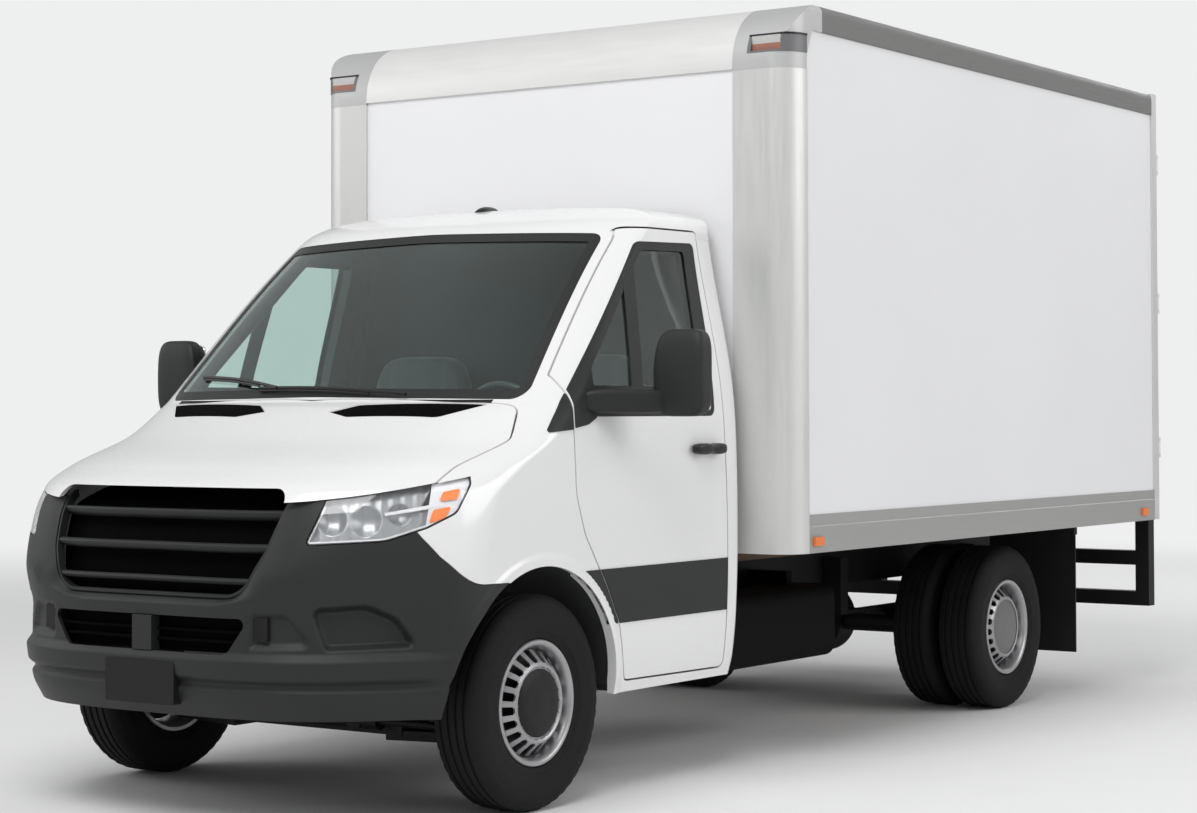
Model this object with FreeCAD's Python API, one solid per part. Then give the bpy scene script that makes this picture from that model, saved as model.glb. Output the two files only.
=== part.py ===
"""Box truck: a van cab on a ladder frame, with a dry-freight body, dual rear wheels and swing doors.

Millimetres. The model is drawn with the front axle at Y = 0, X to the vehicle's left, +Y to the rear and
Z = 0 on the ground; place() then moves it so that the origin is at the middle of its footprint.
"""
import FreeCAD, Part
import math
import os

# ---- driving dimensions ------------------------------------------------------------------------------
WHEELBASE = 3665.0
TYRE_R = 378.0
TYRE_W = 205.0
RIM_R = 203.0             # bead seat of a 16 inch rim
RIM_FLANGE_R = 219.0
RIM_HALF = 76.5           # half width of the rim between its flanges
FRONT_TYRE_X = 862.0      # centre plane of each front tyre
DUAL_INNER_X = 690.0
DUAL_OUTER_X = 925.0
KINGPIN_X = 752.0
STEER_ARM = 135.0         # kingpin to tie rod end

SEAT = 0.3                # clearance where pieces of one body seat on each other
PIN_FIT = 0.3             # radial clearance of a pin or shaft
DOOR_GAP = 7.0            # gap round doors and hood

RAIL_X = 430.0            # outer face of each frame rail
RAIL_W = 65.0
RAIL_H = 150.0
RAIL_WALL = 7.0
RAIL_TOP = 740.0
RAIL_FRONT = -850.0
RAIL_REAR = 4980.0
CROSSMEMBER_Y = (-700.0, 660.0, 1500.0, 2400.0, 3150.0, 4180.0, 4920.0)
CROSSMEMBER_L = 60.0
HORN_X = (465.0, 520.0)   # bracket from each rail's end to the bumper
HORN_Z = (640.0, 720.0)
HORN_T = 12.0

PANEL_T = 20.0            # fenders, bumper and hood skin with its frame
CAB_WALL = 60.0
ROOF_DROP = 45.0
CAB_MOUNT_H = 15.0
FLOOR_T = 30.0
STEP_Z = 400.0
STEP_X = 750.0
DOOR_IN_X = 810.0
SILL_Z = 370.0
SHELL_FRONT_Y = 156.0
FENDER_TOP_Z = 1318.0
FIREWALL_Y = 62.0
FIREWALL_T = 30.0
DOOR_SKIN = 18.0
PILLAR_W = 35.0            # front view width of the pillar beside the windscreen
DOOR_STEP = 18.0          # how far the door's inner frame stands inside its skin
GLASS_T = 4.0
GLASS_SET = 8.0
HINGE_IN = 5.0            # cab door hinge axis inside the widest skin
HINGE_BACK = 20.0         # and behind the door's front edge
HOOD_PIVOT = (-5.0, 1432.0)

ARCH_Y = -45.0
ARCH_Z = 390.0
ARCH_R = 468.0
LINER_R = 480.0
LINER_T = 10.0
LINER_X = 520.0

BODY_X = 1207.0           # half width of the load body over its rails
BODY_FRONT = 1330.0
BODY_REAR = 5060.0
BODY_BASE = 834.0
BODY_TOP = 3010.0
WALL_T = 20.0
PROUD = 10.0              # how far the body's rails stand proud of its panels
NOSE_R = 250.0
POST_R = 120.0
POST_FLANGE_X = BODY_X - 267.0
CAP_H = 270.0
CAP_Z = BODY_TOP - CAP_H
CAP_REAR_Y = BODY_FRONT + NOSE_R
BASE_RAIL_H = 151.0
BASE_RAIL_TOP = BODY_BASE + BASE_RAIL_H
BASE_RAIL_STEP = BODY_BASE + 103.0
BASE_RAIL_W = 57.0
WALL_FOOT = BASE_RAIL_TOP - 35.0
TOP_RAIL_H = 110.0
TOP_RAIL_Z = BODY_TOP - TOP_RAIL_H
TOP_RAIL_EDGE = 35.0      # thickness of its top flange
TOP_RAIL_LEDGE = BODY_TOP - TOP_RAIL_EDGE
TOP_RAIL_R = 35.0
FLOOR_TOP = BASE_RAIL_TOP - 20.0
DECK_T = 32.0
BEAM_PITCH = 416.0
BEAM_W = 50.0
SILL_X = 395.0            # centre of each long sill under the body
SILL_W = 60.0
ROOF_T = 15.0
BOW_PITCH = 600.0
FRAME_POST_W = 77.0
FRAME_D = 60.0
CARGO_SILL_TOP = BASE_RAIL_TOP - 10.0
HEAD_H = 110.0
CARGO_HEAD_Z = BODY_TOP - HEAD_H
CARGO_DOOR_T = 42.0
CARGO_PIN_X = BODY_X - 13.0
CARGO_PIN_OUT = 25.0      # hinge pin behind the body's rear face
CARGO_PIN_R = 6.0
CARGO_KNUCKLE_R = 11.0
CARGO_HINGE_Z = (CARGO_SILL_TOP + 225.0, (CARGO_SILL_TOP + CARGO_HEAD_Z) / 2, CARGO_HEAD_Z - 250.0)
CARGO_KNUCKLE_L = 60.0
STRAP_L = 300.0
STRAP_T = 8.0

REAR_AXLE_R = 55.0
DIFF_R = 165.0
DIFF_W = 150.0
SPRING_X = 495.0
SPRING_W = 60.0
BUMPER_POST_X = 1140.0
BUMPER_TUBE = 72.0
BUMPER_BARS_Z = (395.0, 601.0)
MIRROR = (1130.0, 1345.0, 1375.0, 1690.0)   # inner x, outer x, low z, high z
MIRROR_Y = 450.0
MIRROR_D = 95.0
MIRROR_FOOT_Y = (226.0, 294.0)
MIRROR_ARM_Z = (1388.0, 1474.0)

# ---- cab form: one plan section per height --------------------------------------------------------
# z, front y at the centre, bow end x and y, corner x and y, side start x and y, back y
CAB_FORM = (
    (370, -925, 540, -870, 830, -740, 975, -360, 1255),
    (450, -965, 550, -910, 850, -780, 990, -360, 1265),
    (620, -985, 555, -935, 858, -800, 1005, -360, 1270),
    (830, -985, 560, -930, 860, -800, 1010, -360, 1275),
    (1000, -945, 570, -885, 870, -775, 1008, -330, 1280),
    (1130, -870, 570, -810, 885, -700, 1004, -260, 1285),
    (1200, -725, 570, -665, 890, -575, 1001, -150, 1287),
    (1300, -420, 590, -350, 885, -260, 996, 50, 1290),
    (1430, -110, 660, -35, 900, 0, 986, 200, 1293),
    (2050, 560, 620, 600, 800, 650, 868, 800, 1300),
    (2120, 650, 600, 690, 790, 745, 858, 900, 1300),
    (2165, 775, 560, 815, 770, 870, 850, 1000, 1300),
    (2215, 1000, 540, 1030, 760, 1080, 842, 1180, 1300),
)
CAB_BACK_R = 45.0
CAB_TOP = 2197.0
CAB_EAVE = 2165.0
CAB_EAVE_X = 770.0
CAB_GUTTER = 2090.0
CAB_GUTTER_X = 862.0

STRUT_X = 600.0
STRUT_TOP = 843.0
STUB_R = 24.0
UPRIGHT_R = 32.0
UPRIGHT_TOP = 500.0
ARM_RISE = 20.0           # top of the lower arm over the crossbeam's underside
ARM_T = 35.0
HUB_R = 52.0
SUBFRAME_Z = 235.0
ENGINE_BASE = 330.0
ENGINE_W = 480.0
RACK_Y = -STEER_ARM
RACK_Z = 288.0
RACK_X = 355.0           # half length of the rack's tube
RACK_R = 14.0
DISC_T = 8.0
DISC_R = 150.0
FRONT_DISC_X = 88.0       # outer face of the front disc from the tyre's middle
REAR_DISC_X = 70.0
CAP_R = 122.0
REAR_CAP_R = 150.0
COWL_Z = 1437.0
GRILLE_DEPTH = 70.0
WHEEL_X = 430.0           # steering wheel and driver's seat
WHEEL_RING_R = 185.0
WHEEL_GRIP_R = 15.0
CORNER_LAMP = (BODY_X - 122.0, BODY_TOP - 168.0, 130.0, 60.0)   # x, z, width, height
CORNER_LAMP_D = 75.0
CORNER_EASE = 0.5         # keeps the cap's two rounds from lying tangent to its flats
CARGO_MEET_GAP = 12.0
LOCK_GUIDE_Z = (CARGO_SILL_TOP + 105.0, (CARGO_SILL_TOP + CARGO_HEAD_Z) / 2, CARGO_HEAD_Z - 120.0)
FLAP_Y = WHEELBASE + 695.0
FLAP_LOW = 205.0
MARKER_T = 12.0
MARKER_Z = BODY_BASE + 28.0
TAIL_Z = BODY_BASE + 36.0

# ---- outlines, as corner points with a rounding radius each -----------------------------------------
# hood in plan: x, y, radius (right half; the left is its mirror)
HOOD_PLAN = ((893, -1100, 0), (893, -400, 300), (918, -120, 60), (862, 0, 30), (640, -48, 400))
HOOD_REAR_MID = -122.0
HOOD_EDGE = ((-930, 1115), (-400, 1172))      # front edge of the hood in side view
# door in side view: y, z, radius
DOOR_SIDE = (
    (163, 1610, 60), (163, 1100, 200), (210, 960, 120), (345, 765, 200), (433, 620, 150),
    (490, 418, 20), (1165, 410, 30), (1172, 2092, 15), (745, 2088, 90), (560, 1983, 200),
)
WINDOW_SIDE = (
    (300, 1375, 20), (1110, 1375, 35), (1148, 2048, 25), (735, 2036, 70), (300, 1484, 25),
)
SCREEN_FRONT = ((864, 1437, 45), (765, 2066, 45))
SCREEN_CROWN = 22.0
# bumper and front corners in side view: y, z
BUMPER_SIDE = (
    (-1200, 340, 0), (-250, 340, 0), (-250, 813, 0), (-390, 818, 60), (-490, 870, 90),
    (-570, 945, 90), (-612, 1010, 0), (-612, 1400, 0), (-1200, 1400, 0),
)
GRILLE_FRONT = ((530, 1125, 30), (526, 1085, 40), (418, 806, 90))
INTAKE_FRONT = ((452, 697, 25), (370, 592, 45))
# lamp seen along the diagonal of the front corner: distance along the diagonal, z, radius
LAMP_APART = 14.0         # bumper skin left between lamp and grille
LAMP_DIAGONAL = ((-165, 962, 12), (120, 978, 150), (258, 1012, 60), (388, 1180, 12), (-90, 1200, 0))
GRILLE_SLATS_Z = (862.0, 958.0, 1052.0)
SLAT_H = 20.0
PLATE_PAD = (320.0, 147.0, 414.0)             # width, height, low edge

FRONT_MOST = CAB_FORM[3][1]
REAR_MOST = BODY_REAR + CARGO_PIN_OUT + CARGO_KNUCKLE_R
SHIFT_Y = -(FRONT_MOST + REAR_MOST) / 2


# ---- small tools ---------------------------------------------------------------------------------------
def vec(x, y, z):
    return FreeCAD.Vector(x, y, z)


def box(x0, x1, y0, y1, z0, z1):
    return Part.makeBox(x1 - x0, y1 - y0, z1 - z0, vec(x0, y0, z0))


def rod(radius, start, end):
    """A cylinder from one point to another."""
    return Part.makeCylinder(radius, (end - start).Length, start, end - start)


def mirrored(shape):
    return shape.mirror(vec(0, 0, 0), vec(1, 0, 0))


def fuse(shapes):
    first, rest = shapes[0], shapes[1:]
    return first.multiFuse(rest).removeSplitter() if rest else first


def both(shape):
    """The shape and its mirror image on the other side, as separate solids."""
    return Part.makeCompound([shape, mirrored(shape)])


def side(x):
    return lambda a, b: vec(x, a, b)


def plan(z):
    return lambda a, b: vec(a, b, z)


def front(y):
    return lambda a, b: vec(a, y, b)


def diagonal(x_plus_y):
    """A plane square to the front corner's diagonal."""
    half = math.sqrt(0.5)
    return lambda a, b: vec(x_plus_y * 0.5 + a * half, -x_plus_y * 0.5 + a * half, b)


def outline(points, at):
    """A face from corners (a, b, radius), each corner rounded by a tangent arc."""
    corners = []
    count = len(points)
    for i in range(count):
        a, b, radius = points[i]
        here = vec(a, b, 0)
        if radius == 0:
            corners.append((here,))
            continue
        back = (vec(points[i - 1][0], points[i - 1][1], 0) - here).normalize()
        ahead = (vec(points[(i + 1) % count][0], points[(i + 1) % count][1], 0) - here).normalize()
        half = back.getAngle(ahead) / 2
        bisector = (back + ahead).normalize()
        cut = radius / math.tan(half)
        centre = here + bisector * (radius / math.sin(half))
        corners.append((here + back * cut, centre - bisector * radius, here + ahead * cut))
    edges = []
    for i in range(count):
        corner, following = corners[i], corners[(i + 1) % count]
        spots = [at(p.x, p.y) for p in corner]
        if len(spots) == 3:
            edges.append(Part.Arc(*spots).toShape())
        start, end = spots[-1], at(following[0].x, following[0].y)
        if (end - start).Length > 1e-6:
            edges.append(Part.LineSegment(start, end).toShape())
    return Part.Face(Part.Wire(edges))


def prism(points, at, direction, grow=0.0):
    """The outline, grown by an offset if asked, drawn out along a direction."""
    face = outline(points, at)
    if grow:
        face = face.makeOffset2D(grow)
    return face.extrude(direction)


def symmetric(half_points):
    """A closed outline from its right half: the mirrored points follow in reverse."""
    return tuple(half_points) + tuple((-a, b, r) for a, b, r in reversed(half_points))


# ---- the cab's outer form ------------------------------------------------------------------------------
def form_section(row, inset, drop):
    z, front_y, bow_x, bow_y, corner_x, corner_y, side_x, side_y, back_y = row
    z = z - drop
    front_y, bow_y, corner_y = front_y + inset, bow_y + inset, corner_y + inset * 0.8
    corner_x, side_x, back_y = corner_x - inset * 0.8, side_x - inset, back_y - inset
    mid_x = (bow_x + 2 * corner_x + side_x) / 4
    mid_y = (bow_y + 2 * corner_y + side_y) / 4
    radius = max(CAB_BACK_R - inset / 2, CAB_BACK_R / 4)
    turn = radius * (1 - math.sqrt(0.5))

    def arc(*points):
        return Part.Arc(*(vec(x, y, z) for x, y in points)).toShape()

    def line(*points):
        return Part.LineSegment(*(vec(x, y, z) for x, y in points)).toShape()

    return Part.Wire([
        arc((-bow_x, bow_y), (0, front_y), (bow_x, bow_y)),
        arc((bow_x, bow_y), (mid_x, mid_y), (side_x, side_y)),
        line((side_x, side_y), (side_x, back_y - radius)),
        arc((side_x, back_y - radius), (side_x - turn, back_y - turn), (side_x - radius, back_y)),
        line((side_x - radius, back_y), (radius - side_x, back_y)),
        arc((radius - side_x, back_y), (turn - side_x, back_y - turn), (-side_x, back_y - radius)),
        line((-side_x, back_y - radius), (-side_x, side_y)),
        arc((-side_x, side_y), (-mid_x, mid_y), (-bow_x, bow_y)),
    ])


def roof_prism(inset, drop):
    """Front view of the crowned roof, drawn out over the cab's length."""
    gutter_x, eave_x = CAB_GUTTER_X - inset, CAB_EAVE_X - inset
    low, gutter, eave, top = CAB_FORM[0][0] - drop - 50, CAB_GUTTER - drop, CAB_EAVE - drop, CAB_TOP - drop
    wide = CAB_FORM[3][6] + 50
    y0, length = FRONT_MOST - 50, CAB_FORM[-1][8] - FRONT_MOST + 100
    at = front(y0)
    knee = ((gutter_x + eave_x) / 2 + 14, (gutter + eave) / 2 + 14)
    points = [(-wide, low), (wide, low), (wide, CAB_FORM[8][0]), (gutter_x, gutter)]
    edges = [Part.LineSegment(at(*points[i]), at(*points[i + 1])).toShape() for i in range(3)]
    edges.append(Part.Arc(at(gutter_x, gutter), at(*knee), at(eave_x, eave)).toShape())
    edges.append(Part.Arc(at(eave_x, eave), at(0, top), at(-eave_x, eave)).toShape())
    edges.append(Part.Arc(at(-eave_x, eave), at(-knee[0], knee[1]), at(-gutter_x, gutter)).toShape())
    edges.append(Part.LineSegment(at(-gutter_x, gutter), at(-wide, CAB_FORM[8][0])).toShape())
    edges.append(Part.LineSegment(at(-wide, CAB_FORM[8][0]), at(-wide, low)).toShape())
    return Part.Face(Part.Wire(edges)).extrude(vec(0, length, 0))


def cab_form(inset=0.0, drop=0.0):
    """The cab's outside, or the same form set in by inset and lowered by drop."""
    loft = Part.makeLoft([form_section(row, inset, drop) for row in CAB_FORM], True, True)
    return loft.common(roof_prism(inset, drop))


def hood_prism(grow=0.0):
    points = symmetric(HOOD_PLAN + ((0, HOOD_REAR_MID, 0),))
    points = points[:len(HOOD_PLAN) + 1] + points[len(HOOD_PLAN) + 2:]
    low, high = 1050.0, 1470.0
    return prism(points, plan(low), vec(0, 0, high - low), grow)


def above_hood_edge(lift=0.0):
    """Everything above the slanted line along the hood's front edge."""
    (y0, z0), (y1, z1) = HOOD_EDGE
    slope = (z1 - z0) / (y1 - y0)
    near, far, top = -1300.0, 700.0, 2600.0
    points = ((near, z0 + slope * (near - y0) + lift, 0), (far, z0 + slope * (far - y0) + lift, 0),
              (far, top, 0), (near, top, 0))
    wide = BODY_X
    return prism(points, side(-wide), vec(2 * wide, 0, 0))


def door_prism(inner_x, grow=0.0):
    return prism(DOOR_SIDE, side(inner_x), vec(BODY_X - inner_x, 0, 0), grow)


def window_prism(inner_x, grow=0.0):
    return prism(WINDOW_SIDE, side(inner_x), vec(BODY_X - inner_x, 0, 0), grow)


def screen_prism(grow=0.0):
    (low_x, low_z, low_r), (high_x, high_z, high_r) = SCREEN_FRONT
    points = ((low_x, low_z, low_r), (high_x, high_z, high_r), (0, high_z + SCREEN_CROWN, 3000),
              (-high_x, high_z, high_r), (-low_x, low_z, low_r), (0, low_z + SCREEN_CROWN / 2, 3000))
    return prism(points, front(-400), vec(0, 1320, 0), grow)


def door_room(inner_x, grow=0.0):
    """The door's outline, kept off the windscreen by the width of the pillar."""
    return door_prism(inner_x, grow).cut(screen_prism(PILLAR_W - grow))


def bumper_prism(grow=0.0):
    wide = BODY_X
    return prism(BUMPER_SIDE, side(-wide), vec(2 * wide, 0, 0), grow)


def lamp_prism(grow=0.0):
    """The lamp's outline drawn out along the corner's diagonal, kept clear of the grille."""
    reach = 3000.0 * math.sqrt(0.5)
    shape = prism(LAMP_DIAGONAL, diagonal(900.0), vec(reach, -reach, 0), grow)
    return shape.cut(grille_prism(LAMP_APART - grow))


def grille_prism(grow=0.0):
    return prism(symmetric(GRILLE_FRONT), front(-1200), vec(0, 700, 0), grow)


def intake_prism(grow=0.0):
    return prism(symmetric(INTAKE_FRONT), front(-1200), vec(0, 700, 0), grow)


def arch(radius, x0=LINER_X):
    """The wheel opening on the left side, as a cylinder across the body."""
    return rod(radius, vec(x0, ARCH_Y, ARCH_Z), vec(BODY_X, ARCH_Y, ARCH_Z))


# ---- chassis ---------------------------------------------------------------------------------------------
def frame_rails(form_in):
    low = RAIL_TOP - RAIL_H
    inner_x = RAIL_X - RAIL_W
    rail = box(inner_x, RAIL_X, RAIL_FRONT, RAIL_REAR, low, RAIL_TOP)
    hollow = box(inner_x - 1, RAIL_X - RAIL_WALL, RAIL_FRONT - 1, RAIL_REAR + 1, low + RAIL_WALL, RAIL_TOP - RAIL_WALL)
    plate = box(inner_x, HORN_X[1], RAIL_FRONT, RAIL_FRONT + HORN_T, low, RAIL_TOP)
    horn = box(HORN_X[0], HORN_X[1], FRONT_MOST, RAIL_FRONT + HORN_T, HORN_Z[0], HORN_Z[1]).common(form_in)
    rail = fuse([rail.cut(hollow), plate, horn])
    pieces = [rail, mirrored(rail)]
    for y in CROSSMEMBER_Y:
        y1 = min(y + CROSSMEMBER_L, RAIL_REAR)
        reach = RAIL_X - RAIL_WALL / 2
        pieces.append(box(-reach, reach, y, y1, low + RAIL_WALL / 2, RAIL_TOP - RAIL_WALL / 2))
    for y in (SHELL_FRONT_Y + 60, 1180.0):
        for x in (RAIL_X - RAIL_W / 2, RAIL_W / 2 - RAIL_X):
            top = RAIL_TOP + CAB_MOUNT_H - SEAT
            pieces.append(rod(RAIL_W / 2 - 4, vec(x, y, RAIL_TOP - RAIL_WALL), vec(x, y, top)))
    return fuse(pieces)


def front_suspension():
    """Crossbeam under the rails with the lower arms, and a spring strut at each side."""
    beam = box(-RAIL_X, RAIL_X, -90, 90, SUBFRAME_Z, ENGINE_BASE - SEAT)
    ear = box(RAIL_X - RAIL_W, RAIL_X, -110, 110, SUBFRAME_Z, RAIL_TOP - RAIL_H - SEAT)
    arm = prism(((RAIL_X - RAIL_W, -120, 0), (KINGPIN_X, -30, 25), (KINGPIN_X, 30, 25), (RAIL_X - RAIL_W, 120, 0)),
                plan(SUBFRAME_Z + ARM_RISE - ARM_T), vec(0, 0, ARM_T))
    half = fuse([ear, arm])
    strut = fuse([
        rod(25, vec(STRUT_X, 20, 500), vec(STRUT_X, 20, STRUT_TOP)),
        rod(55, vec(STRUT_X, 20, 620), vec(STRUT_X, 20, STRUT_TOP - 20)),
        box(RAIL_X + SEAT, STRUT_X, -20, 60, 630, 710),
    ])
    return Part.makeCompound([fuse([beam, half, mirrored(half)]), strut, mirrored(strut)])


def engine():
    block = box(-ENGINE_W / 2, ENGINE_W / 2, -520, 60, ENGINE_BASE, 1040)
    gearbox = box(-150, 150, 60, 620, ENGINE_BASE + 60, 640)
    return fuse([block, gearbox])


def drive_shaft():
    start, end = vec(0, 620 + SEAT, 500), vec(0, WHEELBASE - 170, TYRE_R)
    shaft = rod(38, start, end)
    return fuse([shaft, rod(60, start, start + (end - start).normalize() * 70)]).common(
        box(-100, 100, 620 + SEAT, WHEELBASE - 170, 0, BODY_BASE))


def steering_rack():
    tube = rod(32, vec(-RACK_X, RACK_Y, RACK_Z), vec(RACK_X, RACK_Y, RACK_Z))
    bore = rod(RACK_R + PIN_FIT, vec(-RAIL_X, RACK_Y, RACK_Z), vec(RAIL_X, RACK_Y, RACK_Z))
    feet = [box(x - 30, x + 30, RACK_Y - 30, -90 - SEAT, RACK_Z - 25, RACK_Z + 25) for x in (-250, 250)]
    return fuse([tube] + feet).cut(bore)


def steering_rod():
    """The rack bar with its tie rods, as one bar that slides across the truck."""
    end = KINGPIN_X - 25
    bar = rod(RACK_R, vec(-end, RACK_Y, RACK_Z), vec(end, RACK_Y, RACK_Z))
    eyes = [rod(20, vec(x, RACK_Y, RACK_Z - 14), vec(x, RACK_Y, RACK_Z + 14)) for x in (-end, end)]
    return fuse([bar] + eyes)


def knuckle():
    """Left knuckle: upright at the kingpin, stub axle, brake shield and steering arm."""
    upright = rod(UPRIGHT_R, vec(KINGPIN_X, 0, SUBFRAME_Z + ARM_RISE + SEAT), vec(KINGPIN_X, 0, UPRIGHT_TOP))
    stub = rod(STUB_R, vec(KINGPIN_X, 0, TYRE_R), vec(FRONT_TYRE_X + 70, 0, TYRE_R))
    neck = rod(58, vec(KINGPIN_X, 0, TYRE_R), vec(KINGPIN_X + 60, 0, TYRE_R))
    arm = box(KINGPIN_X - 45, KINGPIN_X - 5, RACK_Y - 20, 0, RACK_Z + 20, RACK_Z + 42)
    return fuse([upright, stub, neck, arm])


def rear_axle():
    tube = rod(REAR_AXLE_R, vec(-DUAL_INNER_X + 110, WHEELBASE, TYRE_R), vec(DUAL_INNER_X - 110, WHEELBASE, TYRE_R))
    spindle = rod(STUB_R, vec(-DUAL_OUTER_X - 30, WHEELBASE, TYRE_R), vec(DUAL_OUTER_X + 30, WHEELBASE, TYRE_R))
    case = rod(DIFF_R, vec(0, WHEELBASE - DIFF_W / 2, TYRE_R), vec(0, WHEELBASE + DIFF_W / 2, TYRE_R))
    nose = rod(70, vec(0, WHEELBASE - 170 + SEAT, TYRE_R), vec(0, WHEELBASE, TYRE_R))
    return fuse([tube, spindle, case, nose])


def rear_springs():
    """A leaf pack from hanger to hanger over the axle, one each side."""
    low = TYRE_R + REAR_AXLE_R + SEAT
    x0, x1 = SPRING_X - SPRING_W / 2, SPRING_X + SPRING_W / 2
    leaves = [box(x0, x1, WHEELBASE - reach, WHEELBASE + reach, low + i * 14, low + i * 14 + 14)
              for i, reach in enumerate((300, 480, 700))]
    hangers = [box(RAIL_X + SEAT, x1, y - 35, y + 35, low + 28, RAIL_TOP - 20)
               for y in (WHEELBASE - 690, WHEELBASE + 690)]
    return both(fuse(leaves + hangers))


def fuel_tank():
    tank = prism(((RAIL_X + 25, 330, 60), (RAIL_X + 330, 330, 60), (RAIL_X + 330, 640, 60), (RAIL_X + 25, 640, 60)),
                 front(1560), vec(0, 900, 0))
    straps = [box(RAIL_X + SEAT, RAIL_X + 200, y, y + 45, 640, 700) for y in (1700, 2270)]
    inner = [box(RAIL_X + SEAT, RAIL_X + 60, y, y + 45, 420, 700) for y in (1700, 2270)]
    return fuse([tank] + straps + inner)


def exhaust():
    muffler = rod(110, vec(-620, 1500, 470), vec(-620, 2300, 470))
    front_pipe = rod(30, vec(-620, 700, 470), vec(-620, 1500, 470))
    tail_pipe = rod(30, vec(-620, 2300, 470), vec(-620, 2900, 470))
    hangers = [box(-640, -RAIL_X - SEAT, y, y + 40, 560, 640) for y in (1600, 2200)]
    return fuse([muffler, front_pipe, tail_pipe] + hangers)


# ---- wheels ------------------------------------------------------------------------------------------------
def turned(points, arcs=()):
    """Revolve a closed half section (x across, r out) round the X axis; arcs maps an edge to its mid point."""
    edges = []
    for i, (x, r) in enumerate(points):
        start, end = vec(x, 0, r), vec(*(lambda p: (p[0], 0, p[1]))(points[(i + 1) % len(points)]))
        mid = dict(arcs).get(i)
        edge = Part.Arc(start, vec(mid[0], 0, mid[1]), end) if mid else Part.LineSegment(start, end)
        edges.append(edge.toShape())
    return Part.Face(Part.Wire(edges)).revolve(vec(0, 0, 0), vec(1, 0, 0), 360)


def tyre():
    """A tyre about X, centred on its own middle plane: flat tread, bevelled shoulders and bulging flanks."""
    half, bead = TYRE_W / 2, RIM_R + SEAT
    right = ((half - 34, TYRE_R), (half - 14, TYRE_R - 9), (half - 3, TYRE_R - 40), (half, TYRE_R - 72),
             (half - 8, TYRE_R - 115), (RIM_HALF, RIM_FLANGE_R + 3), (RIM_HALF, bead))
    return turned(right + tuple((-x, r) for x, r in reversed(right)))


def rim(face_x, hub_in, hub_out):
    """A steel rim about X with its middle plane at 0: barrel, convex disc out to face_x, and hub."""
    half, flange = RIM_HALF + SEAT, 12.0
    barrel = turned(((-half - flange, RIM_R), (-half - flange, RIM_FLANGE_R), (-half, RIM_FLANGE_R), (-half, RIM_R),
                     (half, RIM_R), (half, RIM_FLANGE_R), (half + flange, RIM_FLANGE_R), (half + flange, RIM_R - 12),
                     (-half - flange, RIM_R - 12)))
    direction = 1 if face_x > 0 else -1
    t = DISC_T * direction
    disc = turned(((half * direction * 0.45, RIM_R - 6), (half * direction * 0.45 + t, RIM_R - 6),
                   (face_x, DISC_R), (face_x, HUB_R - 4), (face_x - t, HUB_R - 4), (face_x - t, DISC_R - 4)))
    hub = turned(((hub_in, STUB_R + PIN_FIT), (hub_out, STUB_R + PIN_FIT), (hub_out, HUB_R), (hub_in, HUB_R)))
    return barrel, disc, hub


def moved(shape, x, y, z):
    shape = shape.copy()
    shape.translate(vec(x, y, z))
    return shape


def front_wheel():
    """Left front rim with its centre cap, and tyre."""
    barrel, disc, hub = rim(FRONT_DISC_X, 20, FRONT_DISC_X + 2)
    cap = turned(((FRONT_DISC_X - 6, 0.0), (FRONT_DISC_X + 22, 0.0), (FRONT_DISC_X + 22, CAP_R - 30),
                  (FRONT_DISC_X + 2, CAP_R), (FRONT_DISC_X - 6, CAP_R)))
    stub_room = rod(STUB_R + PIN_FIT, vec(-200, 0, 0), vec(72, 0, 0))
    wheel = fuse([barrel, disc, hub, cap]).cut(stub_room)
    return moved(wheel, FRONT_TYRE_X, 0, TYRE_R), moved(tyre(), FRONT_TYRE_X, 0, TYRE_R)


def rear_wheels():
    """Left pair of rims on one hub, and their two tyres."""
    apart = DUAL_OUTER_X - DUAL_INNER_X
    outer = [moved(s, DUAL_OUTER_X, WHEELBASE, TYRE_R) for s in rim(REAR_DISC_X, -apart - 60, REAR_DISC_X)]
    inner = [moved(s, DUAL_INNER_X, WHEELBASE, TYRE_R) for s in rim(-REAR_DISC_X, -20, 20)]
    cap = turned(((REAR_DISC_X - 8, 0.0), (REAR_DISC_X + 8, 0.0), (REAR_DISC_X + 8, REAR_CAP_R - 40),
                  (REAR_DISC_X + 1, REAR_CAP_R), (REAR_DISC_X - 8, REAR_CAP_R)))
    cap = moved(cap, DUAL_OUTER_X, WHEELBASE, TYRE_R)
    room = rod(STUB_R + PIN_FIT, vec(0, WHEELBASE, TYRE_R), vec(DUAL_OUTER_X + 32, WHEELBASE, TYRE_R))
    drum = turned(((-REAR_DISC_X - DISC_T, STUB_R + 1), (apart / 2, STUB_R + 1), (apart / 2, HUB_R), (-REAR_DISC_X - DISC_T, HUB_R)))
    drum = moved(drum, DUAL_INNER_X, WHEELBASE, TYRE_R)
    rims = fuse(outer + inner + [cap, drum]).cut(room)
    tyres = [moved(tyre(), x, WHEELBASE, TYRE_R) for x in (DUAL_INNER_X, DUAL_OUTER_X)]
    return rims, Part.makeCompound(tyres)


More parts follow.
